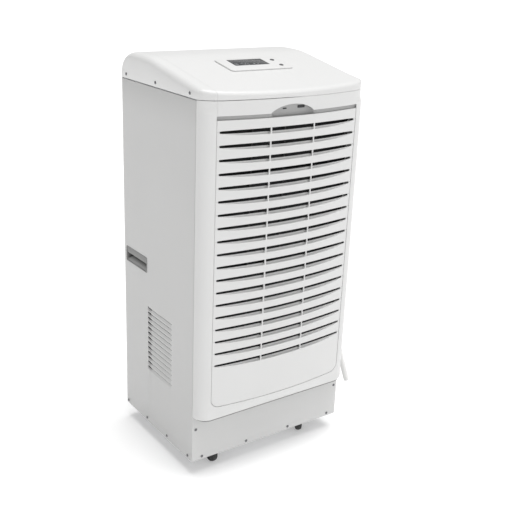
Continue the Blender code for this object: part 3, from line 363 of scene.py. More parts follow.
def woven(name, colour):
    surface = Surface(name, colour, 0.8)
    weave = surface.combined("MAXIMUM", surface.wave("X", 260.0), surface.wave("Z", 260.0))
    surface.tint(weave, scaled(colour, 0.15), colour)
    surface.bump(weave, 0.0003, 0.8)
    surface.uneven(surface.noise(40.0), 0.06)
    return surface.material


def rubber(name, colour):
    surface = drifting(name, colour, 0.72, (0.8, 1.7), (70.0, 4.0), (45.0, 3.0), 0.08)
    surface.bump(surface.noise(900.0, 3.0), 0.00015, 0.5)
    return surface.material


def lens(name, colour):
    surface = drifting(name, colour, 0.13, (0.8, 1.3), (25.0,), (90.0, 4.0), 0.03)
    surface.bump(surface.noise(40.0), 0.00003, 0.3)
    return surface.material


def laminate(name, colour):
    surface = Surface(name, colour, 0.4)
    tracks = surface.voronoi(240.0, "Distance", (1.0, 0.25, 1.0))
    surface.tint(surface.ranged(tracks, 0.0, 1.0, 0.2, 0.5), scaled(colour, 1.7), colour)
    surface.bump(tracks, 0.0001, 0.4)
    surface.uneven(surface.noise(50.0), 0.06)
    return surface.material


WHITE = (0.70, 0.70, 0.695)
# Painted shade: this paint is a darker copy of the skirt paint below, darkened for the shade on the
# sides.
SHADE_DARKENED_PAINT = painted_steel("white_painted_steel", (0.565, 0.565, 0.56), 0.42)
SKIRT_PAINT = painted_steel("white_skirt_paint", (0.62, 0.62, 0.615), 0.42)
MOULDING = moulding("white_moulding", WHITE, 0.36)
LINED_MOULDING = lined_moulding("white_lined_moulding", WHITE, 0.36)
GREY = moulding("grey_moulding", (0.24, 0.24, 0.237), 0.50, 0.00012, 900.0)
# Painted shade: the recess grey darkens the finger recess's floor for the shade inside it.
RECESS_SHADE_GREY = moulding("recess_painted_shade_grey", (0.44, 0.44, 0.437), 0.50, 0.00012, 900.0)
DARK = moulding("dark_moulding", (0.030, 0.030, 0.033), 0.45)
BUTTON = moulding("button_grey", (0.085, 0.085, 0.09), 0.38)
PRINT = moulding("print_grey", (0.30, 0.31, 0.32), 0.45)
LENS = lens("display_lens", (0.022, 0.024, 0.027))
NYLON = woven("filter_nylon", (0.035, 0.035, 0.036))
FILTER_FRAME = moulding("filter_frame_grey", (0.06, 0.06, 0.06), 0.55)
GALVANISED = galvanised("galvanised_steel", (0.60, 0.61, 0.62))
STEEL = bare_metal("bright_steel", (0.66, 0.66, 0.66), 0.28, (1.0, 1.0, 12.0))
SCREW = bare_metal("screw_steel", (0.20, 0.20, 0.21), 0.36, (6.0, 6.0, 1.0))
FINS = finned("coil_fins", (0.76, 0.77, 0.79))
COPPER = bare_metal("copper_tube", (0.72, 0.38, 0.24), 0.30, (2.0, 2.0, 2.0))
BLACK_PAINT = painted_steel("black_painted_steel", (0.022, 0.022, 0.024), 0.42)
RUBBER = rubber("black_rubber", (0.028, 0.028, 0.028))
BOARD = laminate("circuit_board", (0.03, 0.18, 0.07))
HOSE = moulding("white_hose", (0.80, 0.80, 0.79), 0.42, 0.00008, 500.0)


# ---------------------------------------------------------------------------
# Mesh helpers
# ---------------------------------------------------------------------------
CREASE = 38.0


def add_mesh(name, verts, faces, material, sharp=CREASE):
    """Smooth-shaded mesh object with its creases marked by angle."""
    bm = bmesh.new()
    made = [bm.verts.new(spot) for spot in verts]
    for face in faces:
        try:
            bm.faces.new([made[index] for index in face])
        except ValueError:
            pass
    bmesh.ops.remove_doubles(bm, verts=bm.verts, dist=1e-7)
    bmesh.ops.recalc_face_normals(bm, faces=bm.faces)
    return add_bmesh(name, bm, material, sharp)


def add_bmesh(name, bm, material, sharp=CREASE):
    mesh = bpy.data.meshes.new(name)
    bm.to_mesh(mesh)
    bm.free()
    mesh.materials.append(material)
    shade_smooth(mesh, sharp)
    made = bpy.data.objects.new(name, mesh)
    bpy.context.scene.collection.objects.link(made)
    return made


def shade_smooth(mesh, sharp=CREASE):
    for polygon in mesh.polygons:
        polygon.use_smooth = True
    mesh.set_sharp_from_angle(angle=math.radians(sharp))


def repaint(made, material):
    """Give a piece one material in place of those it has."""
    made.data.materials.clear()
    made.data.materials.append(material)


def settle(made, body="cabinet", nodes=()):
    """Place a finished piece on its body, in front of the CAD nodes it stands for."""
    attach(made, body)
    if nodes:
        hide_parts(*nodes)


def soften(made, width):
    bevel = made.modifiers.new("soft_edges", "BEVEL")
    bevel.width = width
    bevel.segments = 2
    bevel.limit_method = "ANGLE"
    bevel.angle_limit = math.radians(32)
    bevel.harden_normals = True
    bevel.miter_outer = "MITER_ARC"


def apply_modifiers(made):
    graph = bpy.context.evaluated_depsgraph_get()
    mesh = bpy.data.meshes.new_from_object(made.evaluated_get(graph))
    old = made.data
    made.modifiers.clear()
    made.data = mesh
    bpy.data.meshes.remove(old)
    shade_smooth(mesh)


def carve(target, cutter, operation="DIFFERENCE"):
    """Boolean one object by another and drop the tool."""
    boolean = target.modifiers.new("cut", "BOOLEAN")
    boolean.operation = operation
    boolean.object = cutter
    bpy.context.view_layer.update()
    apply_modifiers(target)
    bpy.data.objects.remove(cutter)


def lattice(cells, point, filled=None):
    """Outer faces of the filled cells of a warped grid; all cells are filled unless told."""
    ni, nj, nk = cells
    index = {}
    verts = []
    faces = []

    def corner(i, j, k):
        key = (i, j, k)
        if key not in index:
            index[key] = len(verts)
            verts.append(point(i, j, k))
        return index[key]

    solid = np.zeros((ni + 2, nj + 2, nk + 2), bool)
    for i, j, k in np.ndindex(ni, nj, nk):
        solid[i + 1, j + 1, k + 1] = filled is None or filled(i, j, k)
    sides = (
        ((-1, 0, 0), ((0, 0, 0), (0, 0, 1), (0, 1, 1), (0, 1, 0))),
        ((1, 0, 0), ((1, 0, 0), (1, 1, 0), (1, 1, 1), (1, 0, 1))),
        ((0, -1, 0), ((0, 0, 0), (1, 0, 0), (1, 0, 1), (0, 0, 1))),
        ((0, 1, 0), ((0, 1, 0), (0, 1, 1), (1, 1, 1), (1, 1, 0))),
        ((0, 0, -1), ((0, 0, 0), (0, 1, 0), (1, 1, 0), (1, 0, 0))),
        ((0, 0, 1), ((0, 0, 1), (1, 0, 1), (1, 1, 1), (0, 1, 1))),
    )
    for i, j, k in np.argwhere(solid[1:-1, 1:-1, 1:-1]):
        for (di, dj, dk), corners in sides:
            if not solid[i + 1 + di, j + 1 + dj, k + 1 + dk]:
                faces.append([corner(i + a, j + b, k + c) for a, b, c in corners])
    return verts, faces


def loft(rings, closed=False):
    """Skin over equal closed rings, capped at both ends unless it closes on itself."""
    count = len(rings[0])
    verts = [spot for ring in rings for spot in ring]
    faces = []
    total = len(rings)
    for r in range(total if closed else total - 1):
        base = r * count
        above = ((r + 1) % total) * count
        for c in range(count):
            d = (c + 1) % count
            faces.append([base + c, base + d, above + d, above + c])
    if not closed:
        faces.append(list(range(count))[::-1])
        faces.append([(total - 1) * count + c for c in range(count)])
    return verts, faces


def frame_along(position, direction):
    """Matrix whose +Z runs along a direction."""
    z = Vector(direction).normalized()
    side = Vector((0, 0, 1)) if abs(z.z) < 0.9 else Vector((1, 0, 0))
    x = side.cross(z).normalized()
    y = z.cross(x)
    return Matrix.Translation(position) @ Matrix((x, y, z)).transposed().to_4x4()


def full_turn(steps):
    return [2 * math.pi * step / steps for step in range(steps)]


def turned(profile, segments, place):
    """Solid of revolution from (radius, height) points; both ends close on the axis or meet."""
    verts = []
    faces = []
    rows = []
    for radius, height in profile:
        start = len(verts)
        if radius < 1e-6:
            verts.append(place @ Vector((0, 0, height)))
            rows.append([start] * segments)
            continue
        for turn in full_turn(segments):
            spot = (radius * math.cos(turn), radius * math.sin(turn), height)
            verts.append(place @ Vector(spot))
        rows.append(list(range(start, start + segments)))
    for low, high in zip(rows, rows[1:]):
        for s in range(segments):
            t = (s + 1) % segments
            face = [low[s], low[t], high[t], high[s]]
            unique = list(dict.fromkeys(face))
            if len(unique) > 2:
                faces.append(unique)
    return verts, faces


def ring_of_revolution(profile, segments, place):
    """Like turned(), with the profile closed on itself round an open bore."""
    return turned(list(profile) + [profile[0]], segments, place)


def joined(*parts):
    """Several (vertices, faces) shapes as one."""
    verts = []
    faces = []
    for part_verts, part_faces in parts:
        base = len(verts)
        verts += list(part_verts)
        faces += [[index + base for index in face] for face in part_faces]
    return verts, faces


def prism(outline, place, low, high):
    """Extrude an (a, b) outline; place(a, b, t) gives the point."""
    return loft([[place(a, b, t) for a, b in outline] for t in (low, high)])


def upright(a, b, t):
    """Place for prism(): the outline stands in the x-z plane and t runs along y."""
    return Vector((a, t, b))


def placed_by(matrix):
    """Place for prism(): the outline lies across the matrix's z axis."""
    return lambda a, b, t: matrix @ Vector((a, b, t))


def rotated(a, b, turn):
    return a * math.cos(turn) - b * math.sin(turn), a * math.sin(turn) + b * math.cos(turn)


def rounded(centre, size, radius, steps):
    """Outline of a rectangle with round corners, anticlockwise from its right side."""
    points = []
    radius = max(radius, 1e-5)
    for turn in range(4):
        sx = 1 if turn in (0, 3) else -1
        sy = 1 if turn < 2 else -1
        cx = centre[0] + sx * (size[0] / 2 - radius)
        cy = centre[1] + sy * (size[1] / 2 - radius)
        for step in range(steps + 1):
            angle = math.pi / 2 * (turn + step / steps)
            points.append((cx + radius * math.cos(angle), cy + radius * math.sin(angle)))
    return points


def circle(centre, radius, segments):
    x, y = centre
    return [(x + radius * math.cos(t), y + radius * math.sin(t)) for t in full_turn(segments)]


def drop(distance, radius):
    """Fall of a quarter-round edge at a distance in from the edge."""
    if distance >= radius:
        return 0.0
    return radius - math.sqrt(max(0.0, radius ** 2 - (radius - max(0.0, distance)) ** 2))


def spaced(low, high, steps):
    return [low + (high - low) * step / steps for step in range(steps + 1)]


def smooth_step(value):
    value = min(1.0, max(0.0, value))
    return value * value * (3 - 2 * value)


def tube(points, radius, segments, bore=0.0, round_end=0.0):
    """Round tube along points; a bore makes its far end a hollow rounded rim."""
    route = [Vector(point) for point in points]
    turns = full_turn(segments)
    circles = []
    side = (route[1] - route[0]).normalized().orthogonal().normalized()

    def add_circle(spot, size):
        other = along.cross(side)
        circles.append([spot + (side * math.cos(t) + other * math.sin(t)) * size for t in turns])

    for index, spot in enumerate(route):
        before = route[max(0, index - 1)]
        after = route[min(len(route) - 1, index + 1)]
        along = (after - before).normalized()
        side = (side - along * side.dot(along)).normalized()
        if index < len(route) - 1 or not round_end:
            add_circle(spot, radius)
    end = route[-1]
    if round_end:
        for turn in spaced(0.0, math.pi / 2, 5):
            back = round_end * (1 - math.sin(turn))
            add_circle(end - along * back, radius - round_end * (1 - math.cos(turn)))
    if bore:
        add_circle(end - along * 0.0004, bore)
        add_circle(end - along * 0.012, bore)
    return loft(circles)


def smooth_route(points, spacing):
    """Points at about `spacing` along a Catmull-Rom curve through the route's own points."""
    route = [Vector(point) for point in points]
    ends = [route[0] * 2 - route[1], *route, route[-1] * 2 - route[-2]]
    result = [route[0]]
    for before, start, end, after in zip(ends, ends[1:], ends[2:], ends[3:]):
        steps = max(1, round((end - start).length / spacing))
        for step in range(1, steps + 1):
            t = step / steps
            result.append(
                0.5 * (
                    2 * start
                    + (end - before) * t
                    + (2 * before - 5 * start + 4 * end - after) * t ** 2
                    + (3 * start - before - 3 * end + after) * t ** 3
                )
            )
    return result


# ---------------------------------------------------------------------------
# Drain hose, in full view from its elbow to its cut end
# ---------------------------------------------------------------------------
def build_hose():
    """Bent outlet fitting in its wall grommet, and the short hose that hangs from it."""
    start = Vector(ELBOW_END)
    end = Vector(HOSE_END)
    run = (end - start).normalized()
    route = smooth_route(
        [
            (0.2344, DRAIN_Y, DRAIN_Z), (0.242, DRAIN_Y, DRAIN_Z), (0.250, DRAIN_Y, DRAIN_Z),
            (0.2600, DRAIN_Y, 0.2368), start - run * 0.008, start,
        ],
        0.002,
    )
    collar = [
        (0.0081, 0.0), (0.0120, 0.0), (0.0126, 0.0006), (0.0126, 0.0018), (0.0118, 0.0028),
        (0.0100, 0.0034), (0.0088, 0.0050), (0.0081, 0.0052),
    ]
    wall = frame_along((HALF + GAP, DRAIN_Y, DRAIN_Z), (1, 0, 0))
    grommet = ring_of_revolution(collar, 40, wall)
    bead = [
        (0.0080, -0.0040), (0.0088, -0.0036), (0.0092, -0.0024), (0.0092, -0.0012), (0.0086, 0.0),
        (0.0080, 0.0),
    ]
    rim = ring_of_revolution(bead, 40, frame_along(start - run * 0.0006, run))
    bent_tube = tube(route, DRAIN_RADIUS, 40)
    elbow = add_mesh("drain_elbow_fitting", *joined(bent_tube, grommet, rim), MOULDING)
    settle(elbow, nodes=("drain_elbow",))
    exit_point = start + run * GAP * 1.5
    path = [exit_point.lerp(end, step / 24) for step in range(25)]
    cut_tube = tube(path, DRAIN_RADIUS, 40, bore=0.0058, round_end=0.0012)
    hose = add_mesh("drain_hose_tube", *cut_tube, HOSE)
    settle(hose, nodes=("drain_hose",))


build_hose()


# ---------------------------------------------------------------------------
# Front: cover, finger recess and louvred grille
# ---------------------------------------------------------------------------
def bow(z):
    """How far the middle of the front stands ahead of its edges at height z."""
    rise = max(0.0, min(1.0, (z - COVER_BOTTOM) / (SEAM_Z - COVER_BOTTOM)))
    below = max(0.0, 1 - max(0.0, z - COVER_BOTTOM) / BOW_RAMP)
    return (BOW_AT_FOOT + (BOW_AT_SEAM - BOW_AT_FOOT) * rise) * (1 - below ** BOW_RAMP_POWER)


def front_y(x, z):
    return COVER_EDGE_Y - bow(z) * (1 - (x / BOW_WIDTH) ** 2)


def front_outline(z, half, inset, back_y, bow_steps, corner_steps):
    """Plan curve of the front at height z, from the left side round to the right side.

    The bow runs into each side by a Bezier corner, which grows rounder above the band.
    """
    half -= inset
    rounding_height = 0.022
    rounder = smooth_step((z - BAND_TOP) / rounding_height)
    arc_half = half - COVER_CORNER + inset - (TOP_CORNER - COVER_CORNER) * rounder
    middle = []
    for step in range(bow_steps + 1):
        x = arc_half * (2 * step / bow_steps - 1)
        middle.append((x, front_y(x, z) + inset))
    start = Vector(middle[-1])
    slope = 2 * bow(z) * arc_half / BOW_WIDTH ** 2
    reach = (0.55 - 0.15 * rounder) * COVER_CORNER
    controls = (
        start,
        start + Vector((1.0, slope)).normalized() * (reach + 0.016 * rounder),
        Vector((half, COVER_BACK_Y - reach)),
        Vector((half, back_y)),
    )
    corner = []
    for step in range(1, corner_steps + 1):
        t = step / corner_steps
        weights = ((1 - t) ** 3, 3 * t * (1 - t) ** 2, 3 * t ** 2 * (1 - t), t ** 3)
        spot = sum((w * c for w, c in zip(weights, controls)), Vector((0.0, 0.0)))
        corner.append((spot.x, spot.y))
    return [(-x, y) for x, y in reversed(corner)] + middle + corner


def cover_half_width(z):
    height = min(LOWER_CORNER, max(0.0, z - COVER_BOTTOM))
    return HALF - LOWER_CORNER + math.sqrt(LOWER_CORNER ** 2 - (LOWER_CORNER - height) ** 2)


def cover_rings(low, high, inset, back_y, edge, bow_steps, corner_steps, rows):
    """Rings up the cover; its top edge is drawn in by `edge` to round it."""
    corner_parts = (0.0, 0.01, 0.04, 0.1, 0.2, 0.35, 0.55, 0.78, 1.0)
    heights = [low + LOWER_CORNER * part for part in corner_parts]
    heights += [low + BOW_RAMP * part for part in (0.45, 0.55, 0.65, 0.75, 0.85, 0.92, 1.0)]
    tall = high - edge - heights[-1]
    heights += [heights[-1] + tall * part / rows for part in range(1, rows + 1)]
    if edge:
        heights = sorted(set(heights) | {BAND_TOP + step * 0.0055 for step in range(5)})
    levels = [(z, cover_half_width(z - low + COVER_BOTTOM), inset) for z in heights]
    if edge:
        for angle in (30, 60, 90):
            turn = math.radians(angle)
            z = high - edge + edge * math.sin(turn)
            levels.append((z, HALF, inset + edge * (1 - math.cos(turn))))
    rings = []
    for z, half, drawn_in in levels:
        plan = front_outline(z, half, drawn_in, back_y, bow_steps, corner_steps)
        rings.append([(x, y, z) for x, y in plan])
    return rings


def cover_opening(clearance):
    """Grille opening as (x, z) points: rounded lower corners, and an arch over the middle."""
    corner_steps = 14
    arch_steps = 36
    half = PANEL_HALF + clearance
    low = PANEL_BOTTOM - clearance
    corner = PANEL_CORNER + clearance
    points = [(half, BAND_TOP)]
    for step in range(arch_steps + 1):
        across = 1 - 2 * step / arch_steps
        rise = (GRIP_TOP - BAND_TOP) * (1 - across ** 2) ** GRIP_ARCH_POWER
        points.append((GRIP_X + GRIP_HALF * across, BAND_TOP + rise))
    points.append((-half, BAND_TOP))
    for sign in (-1, 1):
        arc = []
        for step in range(corner_steps + 1):
            angle = math.pi / 2 * step / corner_steps
            x = half - corner + corner * math.cos(angle)
            arc.append((sign * x, low + corner - corner * math.sin(angle)))
        points += arc if sign < 0 else reversed(arc)
    return points


def build_front_cover():
    top = SEAM_Z - GAP
    outer = loft(cover_rings(COVER_BOTTOM, top, 0.0, COVER_BACK_Y, 0.0009, 40, 12, 26))
    cover = add_mesh("front_cover_moulding", *outer, LINED_MOULDING)
    inner = loft(
        cover_rings(COVER_BOTTOM + SHELL, top - SHELL, SHELL, COVER_BACK_Y + 0.010, 0.0, 16, 5, 8)
    )
    carve(cover, add_mesh("cover_hollow", *inner, MOULDING))
    hole = prism(cover_opening(0.0009), upright, -0.240, -0.172)
    carve(cover, add_mesh("cover_hole", *hole, MOULDING))
    repaint(cover, LINED_MOULDING)
    settle(cover, nodes=("front_cover",))


def build_recess():
    """Floor behind the band and the arch: shallow beside the arch, finger-deep behind it; its grey is
    painted shade.
    """
    columns = 82
    thick, roof_thick = 0.0015, 0.0013
    slope_width = 0.007
    half = PANEL_HALF + 0.0040
    slope_start = GRIP_HALF - 0.005
    section = [
        (PANEL_TOP - 0.008, RECESS_DEPTH), (0.9450, RECESS_DEPTH), (0.9600, RECESS_DEPTH),
        (0.9670, RECESS_DEPTH - 0.0004), (0.9700, RECESS_DEPTH - 0.0018),
        (0.9716, RECESS_DEPTH - 0.0042), (0.9722, SHELL + GAP),
    ]

    def point(i, j, k):
        x = half * (2 * i / columns - 1)
        z, depth = section[j]
        shallow = smooth_step((abs(x - GRIP_X - 0.006) - slope_start) / slope_width)
        depth = min(depth, RECESS_DEPTH - (RECESS_DEPTH - BAND_DEPTH) * shallow)
        rise = roof_thick * k if j > 3 else 0.0
        return (x, front_y(x, GRIP_TOP) + depth + thick * k * (j < len(section) - 1), z + rise)

    shape = lattice((columns, len(section) - 1, 1), point)
    recess = add_mesh("finger_recess", *shape, RECESS_SHADE_GREY, 60.0)
    settle(recess, nodes=("grip_recess",))
    # Painted shade: two thin dark patches on the recess floor stand for the shaded openings of catch
    # slots.
    catches = []
    for centre, size in (((0.0215, 0.9595), (0.021, 0.0070)), ((-0.0265, 0.9575), (0.011, 0.0030))):
        outline = rounded(centre, size, 0.0012, 4)
        face = front_y(centre[0], GRIP_TOP) + RECESS_DEPTH
        catches.append(prism(outline, upright, face - 0.0006, face + 0.0008))
    settle(add_mesh("catch_slot_shade_patches", *joined(*catches), DARK))


def grille_columns():
    """Column positions: fine at the ribs, at the slots' ends and round the lower corners."""
    left, right = RIB_XS
    clear = 0.0042
    xs = spaced(left + clear, right - clear, 26)
    beside = (0.0008, RIB_HALF, 0.0021, 0.0028)
    for rib in RIB_XS:
        xs.append(rib)
        xs += [rib + sign * step for step in beside for sign in (-1, 1)]
    xs += spaced(left - clear, PANEL_CORNER - PANEL_HALF, 18)
    xs += spaced(right + clear, PANEL_HALF - PANEL_CORNER, 20)
    arc = [
        PANEL_HALF - PANEL_CORNER + PANEL_CORNER * math.sin(math.radians(angle))
        for angle in (14, 28)
    ]
    end = [0.1955, SLOT_END_X, 0.2000, 0.2020, 0.2036, 0.2043, 0.2047, PANEL_HALF]
    xs += [sign * x for x in arc + end for sign in (-1, 1)]
    return sorted(xs)


def slot_taper(x):
    """Share of a slot's full height at x: elliptical, down to a blunt end."""
    blunt = 0.42
    return blunt + (1 - blunt) * math.sqrt(max(0.0, 1 - (x / SLOT_END_X) ** 2))


def slot_low(s, x):
    return SLOT_LOW_Z + SLOT_PITCH * s - SLOT_DOWN * slot_taper(x)


def slot_high(s, x):
    return SLOT_LOW_Z + SLOT_PITCH * s + SLOT_UP * slot_taper(x)


def slot_swell(x):
    """Share of a slat's full fold at x, from 1 in the middle to nothing at the slot's ends."""
    return max(0.0, 1 - (x / SLOT_END_X) ** 2) ** 0.8


def rib_distance(x):
    return min(abs(x - rib) for rib in RIB_XS)


def scoop_spot(s, x, share, rise, depth):
    """Point of the trough behind a slat's upper edge; it fades out at the ribs and ends."""
    past_rib = rib_distance(x) - 0.0014
    full = slot_swell(x) * smooth_step(past_rib / 0.0012)
    flat = SCOOP_HEIGHT * slot_swell(x) * (share - 1) - 0.0004 * (1 - share)
    folded = rise - SCOOP_HEIGHT
    return slot_low(s, x) + flat + (folded - flat) * full, SCOOP_DEPTH * full * depth


def lip_depth(d, x):
    """How far the lip over a slot lies behind the panel's face, d above its lower edge."""
    flare = LIP_PROUD * slot_swell(x) ** 0.5 * smooth_step(1 - d / LIP_HEIGHT)
    return drop(d, LIP_ROUND) - flare


def panel_bottom(x):
    reach = max(0.0, abs(x) - (PANEL_HALF - PANEL_CORNER))
    return PANEL_BOTTOM + PANEL_CORNER - math.sqrt(max(0.0, PANEL_CORNER ** 2 - reach ** 2))


def grille_rows():
    """Rows up the panel as functions of x that give (z, depth), and the rows under each slot."""
    lip_heights = (0.0, 0.00025, 0.0007, 0.0013, 0.0020, 0.0030, 0.0040, LIP_HEIGHT)
    edge_heights = (0.0, 0.0002, 0.0005, 0.0010, PANEL_EDGE)
    trough = (
        (0.00, -0.0022, 0.00), (0.08, -0.0009, 0.02), (0.16, -0.0003, 0.06), (0.26, 0.0, 0.15),
        (0.36, 0.0000, 0.30), (0.46, -0.0006, 0.46), (0.58, -0.0008, 0.80), (0.70, 0.0005, 0.95),
        (0.85, 0.0020, 1.00), (1.00, SCOOP_HEIGHT, 0.97),
    )

    def scoop_rows(s):
        return [lambda x, step=step: scoop_spot(s, x, *step) for step in trough]

    def lip_rows(s):
        return [lambda x, d=d: (slot_high(s, x) + d, lip_depth(d, x)) for d in lip_heights]

    def flat_rows(lower, upper, parts):
        """Rows over the flat of a slat, part of the way from one curve to the next."""
        return [lambda x, part=part: (lower(x) + (upper(x) - lower(x)) * part, 0.0) for part in parts]

    def above_lip(s):
        return lambda x: slot_high(s, x) + LIP_HEIGHT

    def below_scoop(s):
        return lambda x: slot_low(s, x) - SCOOP_HEIGHT

    rows = [lambda x, d=d: (panel_bottom(x) + d, drop(d, PANEL_EDGE)) for d in edge_heights]
    rows += flat_rows(
        lambda x: panel_bottom(x) + PANEL_EDGE,
        lambda x: slot_low(0, x) - 0.011,
        (0.2, 0.45, 0.7, 0.9),
    )
    under_slots = set()
    for s in range(SLOT_ROWS):
        rows += scoop_rows(s)
        under_slots.add(len(rows) - 1)
        rows += lip_rows(s)
        if s < SLOT_ROWS - 1:
            rows += flat_rows(above_lip(s), below_scoop(s + 1), (0.35, 0.75))
    rows += flat_rows(above_lip(SLOT_ROWS - 1), lambda x: PANEL_TOP - PANEL_EDGE, (0.4, 0.8))
    rows += [lambda x, d=d: (PANEL_TOP - d, drop(d, PANEL_EDGE)) for d in reversed(edge_heights)]
    return rows, under_slots


def build_grille():
    """Bowed panel whose slats end in a thin flared lip above each slot and a scoop below it."""
    xs = grille_columns()
    rows, under_slots = grille_rows()
    table = [[row(x) for row in rows] for x in xs]
    side_drop = [drop(PANEL_HALF - abs(x), PANEL_EDGE) for x in xs]
    middles = [(left + right) / 2 for left, right in zip(xs, xs[1:])]
    solid_columns = {
        i for i, x in enumerate(middles)
        if abs(x) > SLOT_END_X or rib_distance(x) < RIB_HALF
    }

    def point(i, j, k):
        x = xs[i]
        z, depth = table[i][j]
        depth = max(depth, side_drop[i])
        return (x, front_y(x, z) + depth + PANEL_SKIN * k, z)

    def filled(i, j, k):
        return j not in under_slots or i in solid_columns

    shape = lattice((len(xs) - 1, len(rows) - 1, 1), point, filled)
    panel = add_mesh("louvred_grille", *shape, MOULDING, 50.0)
    settle(panel, "grille", ("grille_panel",))


def build_painted_joint_shadow():
    """Painted shadow: dark grey strip in the joint under the cover's lower edge, for the lip's shade."""
    edges = ((0.0008, 0.1718), (0.0008, 0.1752), (0.0050, 0.1752), (0.0050, 0.1718))
    half = HALF - LOWER_CORNER
    rings = []
    for inset, z in edges:
        plan = front_outline(COVER_BOTTOM, half, inset, COVER_BACK_Y - inset, 30, 10)
        rings.append([(x, y, z) for x, y in plan])
    settle(add_mesh("painted_cover_joint_shadow", *loft(rings, closed=True), GREY))


build_front_cover()
build_painted_joint_shadow()
build_recess()
build_grille()


# ---------------------------------------------------------------------------
# Lid and control panel
# ---------------------------------------------------------------------------
def lid_height(y):
    ahead = (LID_KINK_Y - y) / LID_KINK_SOFTNESS
    softened = ahead if ahead > 30 else math.log1p(math.exp(ahead))
    return LID_TOP - LID_SLOPE * LID_KINK_SOFTNESS * softened


def lid_solid(inset, base_z, bow_steps, corner_steps, steps, edge):
    """Closed solid under the lid's surface, with its lower edge drawn in by `edge`."""
    levels = [(base_z, 0.0)]
    if edge:
        levels = [(base_z, edge), (base_z + edge * 0.4, edge * 0.35), (base_z + edge, 0.0)]
    outlines = {
        extra: front_outline(SEAM_Z, HALF, inset + extra, COVER_BACK_Y, bow_steps, corner_steps)
        for _, extra in levels
    }
    outlines[0.0] = front_outline(SEAM_Z, HALF, inset, COVER_BACK_Y, bow_steps, corner_steps)
    rear = CABINET_BACK - inset
    columns = len(outlines[0.0]) - 1

    def point(i, j, k):
        if k < len(levels):
            z, extra = levels[k]
            x, front = outlines[extra][i]
            lift = SEAM_LIFT * smooth_step((0.03 - x) / 0.06) if edge else 0.0
            return (x, front + (rear - extra - front) * steps[j], z + lift)
        x, front = outlines[0.0][i]
        y = front + (rear - front) * steps[j]
        side = drop(HALF - inset - abs(x), min(LID_SIDE_FILLET, 0.55 * (lid_height(y) - SEAM_Z)))
        nose = drop(y - front, LID_NOSE_FILLET)
        tail = drop(rear - y, LID_REAR_FILLET)
        fall = min(math.hypot(max(side, nose), tail), LID_REAR_FILLET)
        return (x, y, lid_height(y) - inset - fall)

    return lattice((columns, len(steps) - 1, len(levels)), point)


def bezel_frame():
    x, y = BEZEL_CENTRE
    centre = Vector((x, y, lid_height(y)))
    return Matrix.Translation(centre) @ Matrix.Rotation(math.atan(LID_SLOPE), 4, "X")


BEZEL = bezel_frame()


def on_bezel(a, b, t):
    """Place for prism(): the outline lies on the lid's slope, over the bezel's middle."""
    return BEZEL @ Vector((a, b, t))


def bezel_rings(centre, size, radius, steps, levels):
    """Rounded rectangles on the bezel, grown all round at each (height, growth) level."""
    rings = []
    for height, growth in levels:
        grown = (size[0] + 2 * growth, size[1] + 2 * growth)
        outline = rounded(centre, grown, radius + growth, steps)
        rings.append([on_bezel(a, b, height) for a, b in outline])
    return rings


def build_lid():
    fine = [0.0, 0.0012, 0.003, 0.006, 0.010, 0.015, 0.0215, 0.03, 0.045]
    fine += spaced(0.08, 0.60, 12) + spaced(0.62, 0.80, 16) + spaced(0.825, 0.90, 3)
    fine += [0.925, 0.945, 0.96, 0.972, 0.981, 0.988, 0.994, 0.998, 1.0]
    lid = add_mesh("top_lid_moulding", *lid_solid(0.0, SEAM_Z, 44, 14, fine, 0.0009), LINED_MOULDING)
    coarse = (0.0, 0.025, 0.06, 0.2, 0.4, 0.58, 0.66, 0.72, 0.78, 0.85, 0.91, 0.955, 0.985, 1.0)
    hollow = lid_solid(SHELL, SEAM_Z - 0.010, 12, 4, coarse, 0.0)
    carve(lid, add_mesh("lid_hollow", *hollow, MOULDING))
    hole = prism(rounded((0.0, 0.0), BEZEL_HOLE, 0.004, 3), on_bezel, -0.008, 0.006)
    carve(lid, add_mesh("lid_hole", *hole, MOULDING))
    repaint(lid, LINED_MOULDING)
    settle(lid, nodes=("top_lid",))


def digit_segments(text, origin, height, width, stroke):
    """Seven-segment numerals as outlines on the control panel."""
    lit = {"0": "abcdef", "5": "afgcd", "8": "abcdefg"}
    outlines = []
    for index, numeral in enumerate(text):
        x = origin[0] + index * width * 1.45
        y = origin[1]
        mid = y + height / 2
        s = stroke
        bar = (width - 2 * s, s)
        post = (s, height / 2 - 1.2 * s)
        left, right = x + s / 2, x + width - s / 2
        parts = {
            "a": (x + s, y + height - s / 2, *bar),
            "g": (x + s, mid, *bar),
            "d": (x + s, y + s / 2, *bar),
            "f": (left, mid + height / 4, *post),
            "b": (right, mid + height / 4, *post),
            "e": (left, mid - height / 4, *post),
            "c": (right, mid - height / 4, *post),
        }
        for key in lit[numeral]:
            px, py, w, h = parts[key]
            centre = (px + (w / 2 if w > h else 0.0), py)
            outlines.append(rounded(centre, (w, h), s * 0.3, 3))
    return outlines


def water_drop(centre, steps):
    """Outline of a drop: round below, drawn out to a point above."""
    outline = []
    for turn in full_turn(steps):
        lift = max(0.0, math.sin(turn))
        across = 0.0026 * math.cos(turn) * (1 - 0.55 * lift ** 2)
        up = 0.0028 * math.sin(turn) * (1 + 0.75 * lift ** 3)
        outline.append((centre[0] + across, centre[1] + up))
    return outline


def fan_petals(centre, count, steps):
    """Outlines of a fan's blades round a centre."""
    petals = []
    for heading in full_turn(count):
        petal = []
        for turn in full_turn(steps):
            spot = (0.0021 + 0.0020 * math.cos(turn), 0.0010 * math.sin(turn))
            a, b = rotated(*spot, heading)
            petal.append((centre[0] + a, centre[1] + b))
        petals.append(petal)
    return petals


